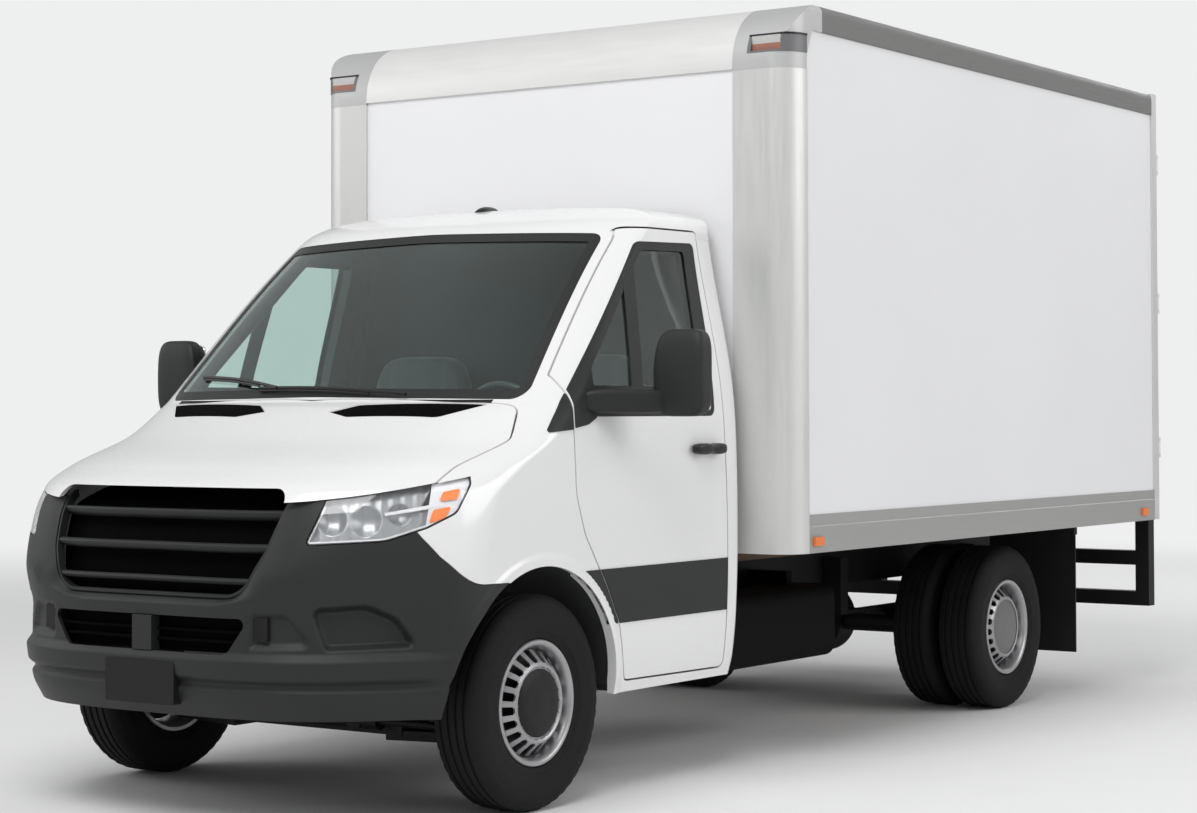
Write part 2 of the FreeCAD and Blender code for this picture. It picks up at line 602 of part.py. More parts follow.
# ---- cab -----------------------------------------------------------------------------------------------------
def cab_shell(forms):
    """Pillars, roof, back wall, sills, floor with its step wells and the firewall, in one piece."""
    outer, inner = forms["outer"], forms["wall"]
    shell = outer.cut(inner)
    room = box(-BODY_X, BODY_X, SHELL_FRONT_Y, 1500, 0, BODY_TOP).fuse(
        box(-BODY_X, BODY_X, FRONT_MOST, SHELL_FRONT_Y, FENDER_TOP_Z + 2, BODY_TOP))
    shell = shell.common(room)
    wide = CAB_FORM[2][6] - 70
    pillar_room = box(STEP_X + 130, BODY_X, FIREWALL_Y, SHELL_FRONT_Y + 1, SILL_Z, FENDER_TOP_Z + 10)
    pillars = both(forms["fender_back"].common(pillar_room))
    base = [
        box(-wide, wide, FIREWALL_Y, FIREWALL_Y + FIREWALL_T, RAIL_TOP + CAB_MOUNT_H, 1385),
        box(-STEP_X, STEP_X, FIREWALL_Y, 1240, RAIL_TOP + CAB_MOUNT_H, RAIL_TOP + CAB_MOUNT_H + FLOOR_T),
    ]
    for sign in (1, -1):
        xs = sorted((sign * (STEP_X - FLOOR_T), sign * STEP_X))
        base.append(box(xs[0], xs[1], 430, 1240, STEP_Z - FLOOR_T, RAIL_TOP + CAB_MOUNT_H + FLOOR_T))
        xs = sorted((sign * (STEP_X - FLOOR_T), sign * (wide + 5)))
        base.append(box(xs[0], xs[1], 430, 1240, STEP_Z - FLOOR_T, STEP_Z))
        base.append(box(xs[0], xs[1], 1200, 1240, STEP_Z - FLOOR_T, RAIL_TOP + CAB_MOUNT_H + FLOOR_T))
    base = fuse(base).common(outer)
    shell = fuse([shell, base] + pillars.Solids)
    door = door_room(DOOR_IN_X, DOOR_GAP)
    underbody = box(-STEP_X + FLOOR_T, STEP_X - FLOOR_T, 0, BODY_FRONT, 0, RAIL_TOP + CAB_MOUNT_H)
    well = arch(LINER_R + LINER_T + SEAT, LINER_X - SEAT)
    hood_room = hood_prism(DOOR_GAP).common(box(-BODY_X, BODY_X, FRONT_MOST, 100, 0, COWL_Z + 40))
    cuts = [door, mirrored(door), well, mirrored(well), hood_room, cowl_room(), screen_prism(), underbody]
    shell = shell.cut(cuts)
    return shell


def cowl_room(grow=0.0):
    return box(-760 - grow, 760 + grow, FRONT_MOST, 60, 1300, COWL_Z + grow)


def cowl(forms):
    """Black strip between the hood's rear edge and the windscreen."""
    strip = forms["skin"].common(cowl_room(-SEAT)).cut(hood_prism(DOOR_GAP + 2)).cut(screen_prism(SEAT))
    return biggest(strip)


def biggest(shape):
    return max(shape.Solids, key=lambda s: s.Volume)


def windscreen(forms):
    room = screen_prism(-SEAT)
    return biggest(forms["glass_out"].common(room).cut(forms["glass_in"]))


def hood(forms):
    lid = forms["skin"].common(hood_prism()).common(above_hood_edge(DOOR_GAP))
    return biggest(lid.cut(box(-BODY_X, BODY_X, FRONT_MOST, 300, COWL_Z + 8, BODY_TOP)))


def fender(forms):
    """Left fender, from the bumper line to the door and up to the hood."""
    room = box(STEP_X - 300, BODY_X, FRONT_MOST, SHELL_FRONT_Y - SEAT, SILL_Z, FENDER_TOP_Z)
    skin = forms["skin"].common(room)
    skin = skin.cut([bumper_prism(SEAT), lamp_prism(SEAT), hood_prism(DOOR_GAP), arch(ARCH_R)])
    return biggest(skin)


def front_bumper(forms):
    shell = forms["skin"].common(bumper_prism()).cut(above_hood_edge(-2))
    lamp = lamp_prism(SEAT)
    cuts = [lamp, mirrored(lamp), grille_prism(), intake_prism(), arch(ARCH_R), mirrored(arch(ARCH_R))]
    shell = biggest(shell.cut(cuts))
    width, height, low = PLATE_PAD
    pad = box(-width / 2, width / 2, FRONT_MOST + 2, FRONT_MOST + 90, low, low + height).cut(forms["panel"])
    return fuse([shell, pad])


def grille(forms):
    """Slats in a rim with a dark back, and the lower intake's insert."""
    hole = grille_prism(-SEAT).cut(above_hood_edge(-4))
    ring = hole.cut(grille_prism(-22).cut(above_hood_edge(-26)))
    band = forms["outer"].cut(forms["deep"])
    slats = [box(-600, 600, FRONT_MOST - 20, -500, z, z + SLAT_H) for z in GRILLE_SLATS_Z]
    bars = hole.common(slats[0].fuse(slats[1:]))
    back = forms["deep"].cut(forms["deeper"]).common(hole)
    upper = fuse([band.common(ring).cut(forms["outer"].cut(forms["lip"])), band.common(bars).cut(forms["outer"].cut(forms["lip"])), back])
    low_hole = intake_prism(-SEAT)
    post = low_hole.common(box(-45, 45, FRONT_MOST - 20, -500, 500, 800)).common(band)
    lower = fuse([forms["deep"].cut(forms["deeper"]).common(low_hole), post])
    return Part.makeCompound([biggest(upper), biggest(lower)])


def headlamp(forms):
    lamp = forms["outer"].cut(forms["deep"]).common(lamp_prism()).cut(above_hood_edge(0))
    return biggest(lamp.common(box(0, BODY_X, FRONT_MOST, 300, 0, BODY_TOP)))


def wheel_liner(forms):
    ring = arch(LINER_R + LINER_T).cut(arch(LINER_R, LINER_X - 1))
    return biggest(ring.common(forms["fender_back"]).cut(box(0, BODY_X, -2000, 2000, 0, SILL_Z + 30)))


def cab_door(forms):
    """Left door: outer skin, inner frame stepped in behind it, window opening."""
    skin = forms["outer"].cut(forms["door_skin"]).common(door_room(DOOR_IN_X))
    frame = forms["outer"].cut(forms["wall"]).cut(forms["outer"].cut(forms["door_lap"]))
    frame = frame.common(door_room(DOOR_IN_X, -DOOR_STEP))
    return biggest(fuse([biggest(skin), biggest(frame)]).cut(window_prism(STEP_X)))


def door_glass(forms):
    room = window_prism(STEP_X, -SEAT)
    return biggest(forms["glass_out"].common(room).cut(forms["glass_in"]))


def mirror_left(forms):
    """Mirror housing on a thick arm that leaves the door ahead of its window."""
    x0, x1, z0, z1 = MIRROR
    house = prism(((x0, z0, 40), (x1, z0, 40), (x1, z1, 55), (x0, z1, 55)), front(MIRROR_Y), vec(0, MIRROR_D, 0))
    y0, y1 = MIRROR_FOOT_Y
    low, high = MIRROR_ARM_Z
    arm = prism(((900, y0, 0), (1015, y0, 20), (x0 + 20, MIRROR_Y + 8, 0), (x0 + 20, MIRROR_Y + MIRROR_D - 8, 0),
                 (1008, y1, 15), (900, y1, 0)), plan(low), vec(0, 0, high - low))
    return fuse([biggest(arm.cut(forms["seat_skin"])), house])


# ---- cab interior -------------------------------------------------------------------------------------------
def dashboard():
    top = 1340
    y0 = FIREWALL_Y + FIREWALL_T + SEAT
    points = ((y0, 950, 0), (y0 + 250, 950, 40), (y0 + 380, 1120, 60), (y0 + 330, top, 70), (y0, top, 0))
    return prism(points, side(-860), vec(1720, 0, 0))


def steering_wheel():
    """Wheel and column, the column ending at the dashboard."""
    centre, tilt = vec(WHEEL_X, 560, 1330), math.radians(62)
    axis = vec(0, math.sin(tilt), math.cos(tilt))
    ring = Part.makeTorus(WHEEL_RING_R, WHEEL_GRIP_R, centre, axis)
    bar = rod(WHEEL_GRIP_R - 2, centre - vec(WHEEL_RING_R, 0, 0), centre + vec(WHEEL_RING_R, 0, 0))
    hub = rod(60, centre - axis * 20, centre + axis * 20)
    column = rod(28, centre, centre - axis * 300)
    dash_room = box(-860, 860, 0, 560, 900, 1340).common(dashboard().fuse(box(-860, 860, 0, 300, 900, 1340)))
    return biggest(fuse([ring, bar, hub, column]).cut(dash_room))


def seats():
    """Driver's seat and double passenger seat, each a base, cushion, back and head rests in one solid."""
    floor = RAIL_TOP + CAB_MOUNT_H + FLOOR_T + SEAT
    cushion = ((560, 1012, 30), (1090, 992, 30), (1060, 1122, 30), (560, 1150, 50))
    back = ((1005, 1085, 30), (1105, 1062, 30), (1205, 1640, 45), (1115, 1660, 45))
    rest = ((1136, 1600, 0), (1190, 1600, 0), (1212, 1820, 25), (1145, 1830, 25))
    made = []
    for x0, x1, middles in ((170, 700, (435,)), (-740, 60, (-540, -140))):
        parts = [
            box(x0 + 40, x1 - 40, 640, 1050, floor, 1030),
            prism(cushion, side(x0), vec(x1 - x0, 0, 0)),
            prism(back, side(x0 + 5), vec(x1 - x0 - 10, 0, 0)),
        ]
        parts += [prism(rest, side(m - 120), vec(240, 0, 0)) for m in middles]
        made.append(fuse(parts))
    return Part.makeCompound(made)


# ---- load body -------------------------------------------------------------------------------------------------
POST_T = PROUD - SEAT                       # rails lap the panels' outer faces
PANEL_X = BODY_X - PROUD                    # outer face of the side walls
DECK_X = BODY_X - BASE_RAIL_W - SEAT        # the deck ends at the base rails
FRAME_FRONT = BODY_REAR - FRAME_D
CARGO_SIDE = BODY_X - FRAME_POST_W


def box_floor():
    """Deck on cross beams on two long sills."""
    y0, y1 = BODY_FRONT + BASE_RAIL_W + SEAT, FRAME_FRONT - SEAT
    deck = box(-DECK_X, DECK_X, y0, y1, FLOOR_TOP - DECK_T, FLOOR_TOP)
    beams = []
    y = y0 + BEAM_W
    while y < y1 - BEAM_W:
        beams.append(box(-DECK_X, DECK_X, y, y + BEAM_W, BODY_BASE + SEAT, FLOOR_TOP - DECK_T))
        y += BEAM_PITCH
    sill_end = BODY_REAR - BUMPER_TUBE - SEAT
    sills = [box(x - SILL_W / 2, x + SILL_W / 2, y0, sill_end, RAIL_TOP + SEAT, FLOOR_TOP - DECK_T)
             for x in (-SILL_X, SILL_X)]
    return fuse([deck] + beams + sills)


def side_wall():
    """Left side panel, its top front corner following the nose's round."""
    y0, y1 = BODY_FRONT + POST_R, FRAME_FRONT - SEAT
    wall = box(PANEL_X - WALL_T, PANEL_X, y0, y1, WALL_FOOT + SEAT, TOP_RAIL_LEDGE - SEAT)
    corner = box(PANEL_X - WALL_T, PANEL_X, y0, CAP_REAR_Y, BODY_TOP - NOSE_R, BODY_TOP)
    return wall.cut(corner.cut(nose_solid(POST_T + SEAT, 0, BODY_X)))


def box_front_wall():
    y0 = BODY_FRONT + PROUD
    wide = BODY_X - POST_R
    return box(-wide, wide, y0, y0 + WALL_T, WALL_FOOT + SEAT, BODY_TOP - NOSE_R + PROUD)


def box_roof():
    y0, y1 = BODY_FRONT + NOSE_R + SEAT, FRAME_FRONT - SEAT
    wide = BODY_X - BASE_RAIL_W - SEAT
    top = BODY_TOP - POST_T + 6
    sheet = box(-wide, wide, y0, y1, top - ROOF_T, top)
    bows = []
    y = y0 + BOW_PITCH / 2
    while y < y1 - BOW_PITCH / 4:
        bows.append(box(-wide, wide, y, y + 40, top - ROOF_T - 30, top - ROOF_T))
        y += BOW_PITCH
    return fuse([sheet] + bows)


def post_section(inset):
    """Plan of the rounded front corner, set in by the skin's thickness; mitred to a closed form inside."""
    radius = POST_R - inset
    turn = radius * (1 - math.sqrt(0.5))
    x, y = BODY_X - inset, BODY_FRONT + inset
    return x, y, radius, turn


def post_wire(y_end, x_end, z):
    """Closed wire of the post's skin, from x_end on the front to y_end on the side."""
    at = plan(z)
    x, y, r, turn = post_section(0)
    xi, yi, ri, turn_i = post_section(POST_T)
    edges = [
        Part.LineSegment(at(x_end, y), at(x - r, y)).toShape(),
        Part.Arc(at(x - r, y), at(x - turn, y + turn), at(x, y + r)).toShape(),
        Part.LineSegment(at(x, y + r), at(x, y_end)).toShape(),
        Part.LineSegment(at(x, y_end), at(xi, y_end)).toShape(),
        Part.LineSegment(at(xi, y_end), at(xi, yi + ri)).toShape(),
        Part.Arc(at(xi, yi + ri), at(xi - turn_i, yi + turn_i), at(xi - ri, yi)).toShape(),
        Part.LineSegment(at(xi - ri, yi), at(x_end, yi)).toShape(),
        Part.LineSegment(at(x_end, yi), at(x_end, y)).toShape(),
    ]
    return Part.Wire(edges)


def front_post():
    face = Part.Face(post_wire(BODY_FRONT + POST_R + 12, POST_FLANGE_X, BODY_BASE))
    return face.extrude(vec(0, 0, CAP_Z - SEAT - BODY_BASE))


def nose_solid(inset, x0, x1):
    """Side view of the rounded top front edge, drawn across the body from x0 to x1."""
    at = side(x0)
    r = NOSE_R - inset
    turn = r * (1 - math.sqrt(0.5))
    y, z = BODY_FRONT + inset, BODY_TOP - inset
    y_end, low = CAP_REAR_Y + NOSE_R, BODY_BASE
    edges = [
        Part.LineSegment(at(y, low), at(y, z - r)).toShape(),
        Part.Arc(at(y, z - r), at(y + turn, z - turn), at(y + r, z)).toShape(),
        Part.LineSegment(at(y + r, z), at(y_end, z)).toShape(),
        Part.LineSegment(at(y_end, z), at(y_end, low)).toShape(),
        Part.LineSegment(at(y_end, low), at(y, low)).toShape(),
    ]
    return Part.Face(Part.Wire(edges)).extrude(vec(x1 - x0, 0, 0))


def box_nose_rail():
    wide = POST_FLANGE_X - SEAT
    shell = nose_solid(0, -wide, wide).cut(nose_solid(POST_T, -wide, wide))
    return shell.common(box(-wide, wide, BODY_FRONT, BODY_FRONT + NOSE_R, BODY_TOP - NOSE_R - 14, BODY_TOP))


def corner_form(inset):
    """The solid corner inside the post's round, the nose's round and the top rail's round."""
    x, y, r, turn = post_section(inset)
    y_end = CAP_REAR_Y + NOSE_R
    at = plan(CAP_Z - 100)
    edges = [
        Part.LineSegment(at(0, y), at(x - r, y)).toShape(),
        Part.Arc(at(x - r, y), at(x - turn, y + turn), at(x, y + r)).toShape(),
        Part.LineSegment(at(x, y + r), at(x, y_end)).toShape(),
        Part.LineSegment(at(x, y_end), at(0, y_end)).toShape(),
        Part.LineSegment(at(0, y_end), at(0, y)).toShape(),
    ]
    upright = Part.Face(Part.Wire(edges)).extrude(vec(0, 0, BODY_TOP))
    rail_r = TOP_RAIL_R - inset / 2
    top = prism(((0, CAP_Z - 200, 0), (x, CAP_Z - 200, 0), (x, BODY_TOP - inset, rail_r), (0, BODY_TOP - inset, 0)),
                front(BODY_FRONT), vec(0, CAP_REAR_Y, 0))
    return upright.common(top).common(nose_solid(inset - CORNER_EASE, -50, BODY_X + 50))


def corner_cap():
    """Left top front corner casting, open inside, with the lamp's recess."""
    shell = corner_form(0).cut(corner_form(POST_T))
    room = box(POST_FLANGE_X, BODY_X, BODY_FRONT, CAP_REAR_Y, CAP_Z, BODY_TOP)
    shell = shell.common(room)
    lamp = lamp_box(0.0)
    pocket = lamp_box(POST_T).common(corner_form(0))
    return biggest(fuse([biggest(shell), pocket]).cut(lamp))


def lamp_box(grow):
    x, z, w, h = CORNER_LAMP
    y_in = BODY_FRONT + CORNER_LAMP_D
    return box(x - w / 2 - grow, x + w / 2 + grow, BODY_FRONT - 1, y_in + grow, z - h / 2 - grow, z + h / 2 + grow)


def corner_lamp():
    x, z, w, h = CORNER_LAMP
    y_in = BODY_FRONT + CORNER_LAMP_D
    y_out = BODY_FRONT + 20
    return box(x - w / 2 + SEAT, x + w / 2 - SEAT, y_out, y_in - SEAT, z - h / 2 + SEAT, z + h / 2 - SEAT)


def top_rail():
    x = BODY_X
    points = ((PANEL_X + SEAT, TOP_RAIL_Z, 0), (x - 3, TOP_RAIL_Z, 0), (x, TOP_RAIL_Z + 4, 0), (x, BODY_TOP, TOP_RAIL_R),
              (x - BASE_RAIL_W, BODY_TOP, 0), (x - BASE_RAIL_W, TOP_RAIL_LEDGE, 0), (PANEL_X + SEAT, TOP_RAIL_LEDGE, 0))
    return prism(points, front(CAP_REAR_Y + SEAT), vec(0, FRAME_FRONT - SEAT - CAP_REAR_Y - SEAT, 0))


def base_rail_points():
    """Section of the base rail: distance out from the body's middle, height."""
    x = BODY_X
    return ((x, BODY_BASE, 0), (x, BASE_RAIL_STEP, 0), (x - 4, BASE_RAIL_STEP + 4, 0), (x - 4, BASE_RAIL_TOP, 0),
            (PANEL_X + SEAT, BASE_RAIL_TOP, 0), (PANEL_X + SEAT, WALL_FOOT, 0), (x - BASE_RAIL_W, WALL_FOOT, 0),
            (x - BASE_RAIL_W, BODY_BASE, 0))


def box_base_rails():
    y0, y1 = BODY_FRONT + POST_R + 12 + SEAT, FRAME_FRONT - SEAT
    rail = prism(base_rail_points(), front(y0), vec(0, y1 - y0, 0))
    wide = POST_FLANGE_X - SEAT
    ahead = tuple((BODY_FRONT + BODY_X - a, b, r) for a, b, r in base_rail_points())
    across = prism(ahead, side(-wide), vec(2 * wide, 0, 0))
    return Part.makeCompound([rail, mirrored(rail), across])


def box_rear_frame():
    post = box(CARGO_SIDE, BODY_X, FRAME_FRONT, BODY_REAR, BODY_BASE, BODY_TOP)
    head = box(-BODY_X, BODY_X, FRAME_FRONT, BODY_REAR, CARGO_HEAD_Z, BODY_TOP)
    sill = box(-BODY_X, BODY_X, FRAME_FRONT, BODY_REAR, BODY_BASE, CARGO_SILL_TOP)
    frame = fuse([post, mirrored(post), head, sill])
    ears = []
    pin_y = BODY_REAR + CARGO_PIN_OUT
    half = CARGO_KNUCKLE_L / 2 + 1
    for z in CARGO_HINGE_Z:
        for z0 in (z - half - 20, z + half):
            ear = rod(CARGO_KNUCKLE_R, vec(CARGO_PIN_X, pin_y, z0), vec(CARGO_PIN_X, pin_y, z0 + 20))
            ears += [ear, box(CARGO_PIN_X - 8, CARGO_PIN_X + 8, BODY_REAR - 5, pin_y, z0, z0 + 20)]
        ears.append(rod(CARGO_PIN_R, vec(CARGO_PIN_X, pin_y, z - half - 10), vec(CARGO_PIN_X, pin_y, z + half + 10)))
    half_frame = fuse(ears)
    return fuse([frame, half_frame, mirrored(half_frame)])


def cargo_door():
    """Left cargo door with its hinge straps and lock bar."""
    x0, x1 = CARGO_MEET_GAP / 2, CARGO_SIDE - DOOR_GAP
    z0, z1 = CARGO_SILL_TOP + DOOR_GAP, CARGO_HEAD_Z - DOOR_GAP
    leaf = box(x0, x1, BODY_REAR - CARGO_DOOR_T, BODY_REAR, z0, z1)
    pin_y = BODY_REAR + CARGO_PIN_OUT
    parts = [leaf]
    for z in CARGO_HINGE_Z:
        low, high = z - CARGO_KNUCKLE_L / 2, z + CARGO_KNUCKLE_L / 2
        knuckle_part = rod(CARGO_KNUCKLE_R, vec(CARGO_PIN_X, pin_y, low), vec(CARGO_PIN_X, pin_y, high))
        strap = box(CARGO_PIN_X - STRAP_L, CARGO_PIN_X, BODY_REAR + 7, BODY_REAR + 7 + STRAP_T, low, high)
        link = box(CARGO_PIN_X - 8, CARGO_PIN_X, BODY_REAR + 7, pin_y, low, high)
        pad = box(CARGO_PIN_X - STRAP_L, x1 - 5, BODY_REAR - 5, BODY_REAR + 7 + STRAP_T, low, high)
        parts += [knuckle_part, strap, link, pad]
    bar_x, bar_y = x0 + 110, BODY_REAR + 22
    parts.append(rod(13, vec(bar_x, bar_y, z0 + 20), vec(bar_x, bar_y, z1 - 20)))
    for z in LOCK_GUIDE_Z:
        parts.append(box(bar_x - 30, bar_x + 30, BODY_REAR - 5, bar_y, z, z + 40))
    door = fuse(parts)
    bores = [rod(CARGO_PIN_R + PIN_FIT, vec(CARGO_PIN_X, pin_y, z - 100), vec(CARGO_PIN_X, pin_y, z + 100))
             for z in CARGO_HINGE_Z]
    return door.cut(bores)


def rear_bumper():
    """Ladder of two bars between uprights that hang from the rear sill, with two inner stays."""
    half = BUMPER_TUBE / 2
    y0, y1 = BODY_REAR - BUMPER_TUBE, BODY_REAR
    low = BUMPER_BARS_Z[0]
    posts = [box(x - half, x + half, y0, y1, low, BODY_BASE - SEAT)
             for x in (-BUMPER_POST_X, -SILL_X, SILL_X, BUMPER_POST_X)]
    bars = [box(-BUMPER_POST_X - half, BUMPER_POST_X + half, y0, y1, z, z + BUMPER_TUBE) for z in BUMPER_BARS_Z]
    return fuse(posts + bars)


def mud_flap():
    y = FLAP_Y
    flap = box(DUAL_INNER_X - 100, DUAL_OUTER_X + 125, y, y + 8, FLAP_LOW, 800)
    bracket = box(DUAL_INNER_X - 100, DUAL_OUTER_X + 125, y - 10, y + 25, 780, BODY_BASE)
    return fuse([flap, bracket])


def marker_lamps():
    x = BODY_X + SEAT
    lamps = [box(x, x + MARKER_T, y, y + 70, MARKER_Z, MARKER_Z + 35) for y in (BODY_FRONT + 160, BODY_REAR - 240)]
    lamps.append(corner_lamp())
    both_sides = []
    for lamp in lamps:
        both_sides += [lamp, mirrored(lamp)]
    return Part.makeCompound(both_sides)


def tail_lamps():
    y = BODY_REAR + SEAT
    lamps = [box(x, x + 110, y, y + 12, TAIL_Z, TAIL_Z + 70) for x in (900, 1030)]
    return Part.makeCompound(lamps + [mirrored(lamp) for lamp in lamps])


# ---- build -----------------------------------------------------------------------------------------------------------
def cab_forms():
    """The cab's form and the insets that its pieces are cut from."""
    return {
        "outer": cab_form(),
        "wall": cab_form(CAB_WALL, ROOF_DROP),
        "panel": cab_form(PANEL_T, PANEL_T),
        "fender_back": cab_form(PANEL_T + SEAT, PANEL_T + SEAT),
        "door_skin": cab_form(DOOR_SKIN, 0),
        "door_lap": cab_form(DOOR_SKIN - 4, 0),
        "glass_out": cab_form(GLASS_SET, GLASS_SET),
        "glass_in": cab_form(GLASS_SET + GLASS_T, GLASS_SET + GLASS_T),
        "lip": cab_form(12, 12),
        "deep": cab_form(GRILLE_DEPTH, GRILLE_DEPTH),
        "deeper": cab_form(GRILLE_DEPTH + 8, GRILLE_DEPTH + 8),
    }


def nodes():
    forms = cab_forms()
    forms["skin"] = forms["outer"].cut(forms["panel"])
    forms["seat_skin"] = cab_form(-SEAT, 0)
    rim_front, tyre_front = front_wheel()
    rims_rear, tyres_rear = rear_wheels()
    left = {
        "cab_door": cab_door(forms), "door_glass": door_glass(forms), "mirror": mirror_left(forms),
        "cargo_door": cargo_door(), "knuckle": knuckle(),
        "rim_front": rim_front, "tyre_front": tyre_front, "rims_rear": rims_rear, "tyres_rear": tyres_rear,
    }
    shapes = {
        "frame_rails": frame_rails(forms["fender_back"]),
        "front_suspension": front_suspension(),
        "engine": engine(),
        "drive_shaft": drive_shaft(),
        "steering_rack": steering_rack(),
        "steering_rod": steering_rod(),
        "rear_axle": rear_axle(),
        "rear_springs": rear_springs(),
        "fuel_tank": fuel_tank(),
        "exhaust": exhaust(),
        "cab_shell": cab_shell(forms),
        "cowl": cowl(forms),
        "windscreen": windscreen(forms),
        "hood": hood(forms),
        "front_fenders": both(fender(forms)),
        "front_bumper": front_bumper(forms),
        "grille": grille(forms),
        "headlamps": both(headlamp(forms)),
        "wheel_liners": both(wheel_liner(forms)),
        "dashboard": dashboard(),
        "steering_wheel": steering_wheel(),
        "cab_seats": seats(),
        "box_floor": box_floor(),
        "box_side_walls": both(side_wall()),
        "box_front_wall": box_front_wall(),
        "box_roof": box_roof(),
        "box_front_posts": both(front_post()),
        "box_nose_rail": box_nose_rail(),
        "box_corner_caps": both(corner_cap()),
        "box_top_rails": both(top_rail()),
        "box_base_rails": box_base_rails(),
        "box_rear_frame": box_rear_frame(),
        "rear_bumper": rear_bumper(),
        "mud_flaps": both(mud_flap()),
        "marker_lamps": marker_lamps(),
        "tail_lamps": tail_lamps(),
    }
    for name, shape in left.items():
        shapes[name + "_left"] = shape
        shapes[name + "_right"] = mirrored(shape)
    return shapes


def place(shape):
    return moved(shape, 0, SHIFT_Y, 0)


def main():
    os.makedirs("parts", exist_ok=True)
    for name, shape in nodes().items():
        place(shape).exportStep(f"parts/{name}.step")
        size = place(shape).BoundBox
        print(f"{name:20s} solids {len(shape.Solids)} valid {shape.isValid()} volume {shape.Volume / 1e6:9.2f} l"
              f"  y {size.YMin:7.0f} {size.YMax:7.0f}")


main()
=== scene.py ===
"""Looks of the box truck: smooth cab panels, lamps, wheels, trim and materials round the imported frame.

Metres, left +X, front -Y. The cab's sizes are written with the front axle at y = 0, as the source of the
solids has them; piece() moves each such mesh by AXLE_Y, which is read from the frame.
"""
import bpy
import bmesh
from math import acos, atan2, cos, pi, radians, sin, sqrt, tan
import numpy as np
from mathutils import Matrix, Vector
from mathutils.bvhtree import BVHTree


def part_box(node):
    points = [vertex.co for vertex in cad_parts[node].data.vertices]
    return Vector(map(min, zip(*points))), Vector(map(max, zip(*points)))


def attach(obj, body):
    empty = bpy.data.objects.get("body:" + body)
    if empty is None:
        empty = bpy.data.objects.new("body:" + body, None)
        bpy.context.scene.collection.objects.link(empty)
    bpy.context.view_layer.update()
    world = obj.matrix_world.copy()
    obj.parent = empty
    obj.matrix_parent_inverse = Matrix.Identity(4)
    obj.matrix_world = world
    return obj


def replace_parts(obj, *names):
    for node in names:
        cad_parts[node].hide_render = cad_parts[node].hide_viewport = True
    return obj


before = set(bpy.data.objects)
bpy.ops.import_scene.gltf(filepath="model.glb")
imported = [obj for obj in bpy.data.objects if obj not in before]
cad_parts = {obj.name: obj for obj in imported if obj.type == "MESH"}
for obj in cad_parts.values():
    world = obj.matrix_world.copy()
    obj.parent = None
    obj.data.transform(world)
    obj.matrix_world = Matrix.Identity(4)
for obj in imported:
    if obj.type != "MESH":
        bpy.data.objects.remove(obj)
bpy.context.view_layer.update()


def middle(node):
    low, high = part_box(node)
    return (low + high) / 2


# ---- places read from the frame --------
FRONT_WHEEL = middle("tyre_front_left")
REAR_WHEEL = middle("tyres_rear_left")
AXLE_Y = FRONT_WHEEL.y
TYRE_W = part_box("tyre_front_left")[1].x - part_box("tyre_front_left")[0].x
SIDES = (1, -1)           # left, right

# ---- cab form: one plan section per height, in millimetres --------
# z, front y at the centre, bow end x and y, corner x and y, side start x and y, back y
CAB_FORM = np.array((
    (370, -925, 540, -870, 830, -740, 975, -360, 1255),
    (450, -965, 550, -910, 850, -780, 990, -360, 1265),
    (620, -985, 555, -935, 858, -800, 1005, -360, 1270),
    (830, -985, 560, -930, 860, -800, 1010, -360, 1275),
    (1000, -945, 570, -885, 870, -775, 1008, -330, 1280),
    (1130, -870, 570, -810, 885, -700, 1004, -260, 1285),
    (1200, -725, 570, -665, 890, -575, 1001, -150, 1287),
    (1300, -420, 590, -350, 885, -260, 996, 50, 1290),
    (1430, -110, 660, -35, 900, 0, 986, 200, 1293),
    (2050, 560, 620, 600, 800, 650, 868, 800, 1300),
    (2120, 650, 600, 690, 790, 745, 858, 900, 1300),
    (2165, 775, 560, 815, 770, 870, 850, 1000, 1300),
    (2215, 1000, 540, 1030, 760, 1080, 842, 1180, 1300),
)) / 1000
COWL_ROW = 8              # the hood ends and the windscreen starts at this row
CREASED = (1, 3, 5)       # the columns that have a crease there
BACK_R = .045
U_BOW, U_CORNER, U_SIDE, U_BACK, U_TURN = .25, .36, .47, .90, .94
ROOF_TOP, EAVE_Z, EAVE_X, GUTTER_Z, GUTTER_X = 2.197, 2.165, .770, 2.090, .862


# ---- curves and surfaces --------
def smooth_steps(xs, ys, x):
    """Monotone cubic interpolation of ys over xs."""
    h, d = np.diff(xs), np.diff(ys) / np.diff(xs)
    m = np.zeros_like(ys)
    m[0], m[-1] = d[0], d[-1]
    for i in range(1, len(xs) - 1):
        if d[i - 1] * d[i] > 0:
            w1, w2 = 2 * h[i] + h[i - 1], h[i] + 2 * h[i - 1]
            m[i] = (w1 + w2) / (w1 / d[i - 1] + w2 / d[i])
    i = np.clip(np.searchsorted(xs, x) - 1, 0, len(xs) - 2)
    t = (x - xs[i]) / h[i]
    return ((1 + 2 * t) * (1 - t) ** 2 * ys[i] + t * (1 - t) ** 2 * h[i] * m[i]
            + t * t * (3 - 2 * t) * ys[i + 1] + t * t * (t - 1) * h[i] * m[i + 1])


def form_columns(z):
    """The section's values at heights z, smooth but for the crease at the cowl."""
    heights, crease = CAB_FORM[:, 0], CAB_FORM[COWL_ROW, 0]
    columns = []
    for c in range(1, CAB_FORM.shape[1]):
        values = CAB_FORM[:, c]
        if c in CREASED:
            low = smooth_steps(heights[:COWL_ROW + 1], values[:COWL_ROW + 1], np.minimum(z, crease))
            high = smooth_steps(heights[COWL_ROW:], values[COWL_ROW:], np.maximum(z, crease))
            columns.append(np.where(z < crease, low, high))
        else:
            columns.append(smooth_steps(heights, values, z))
    return columns


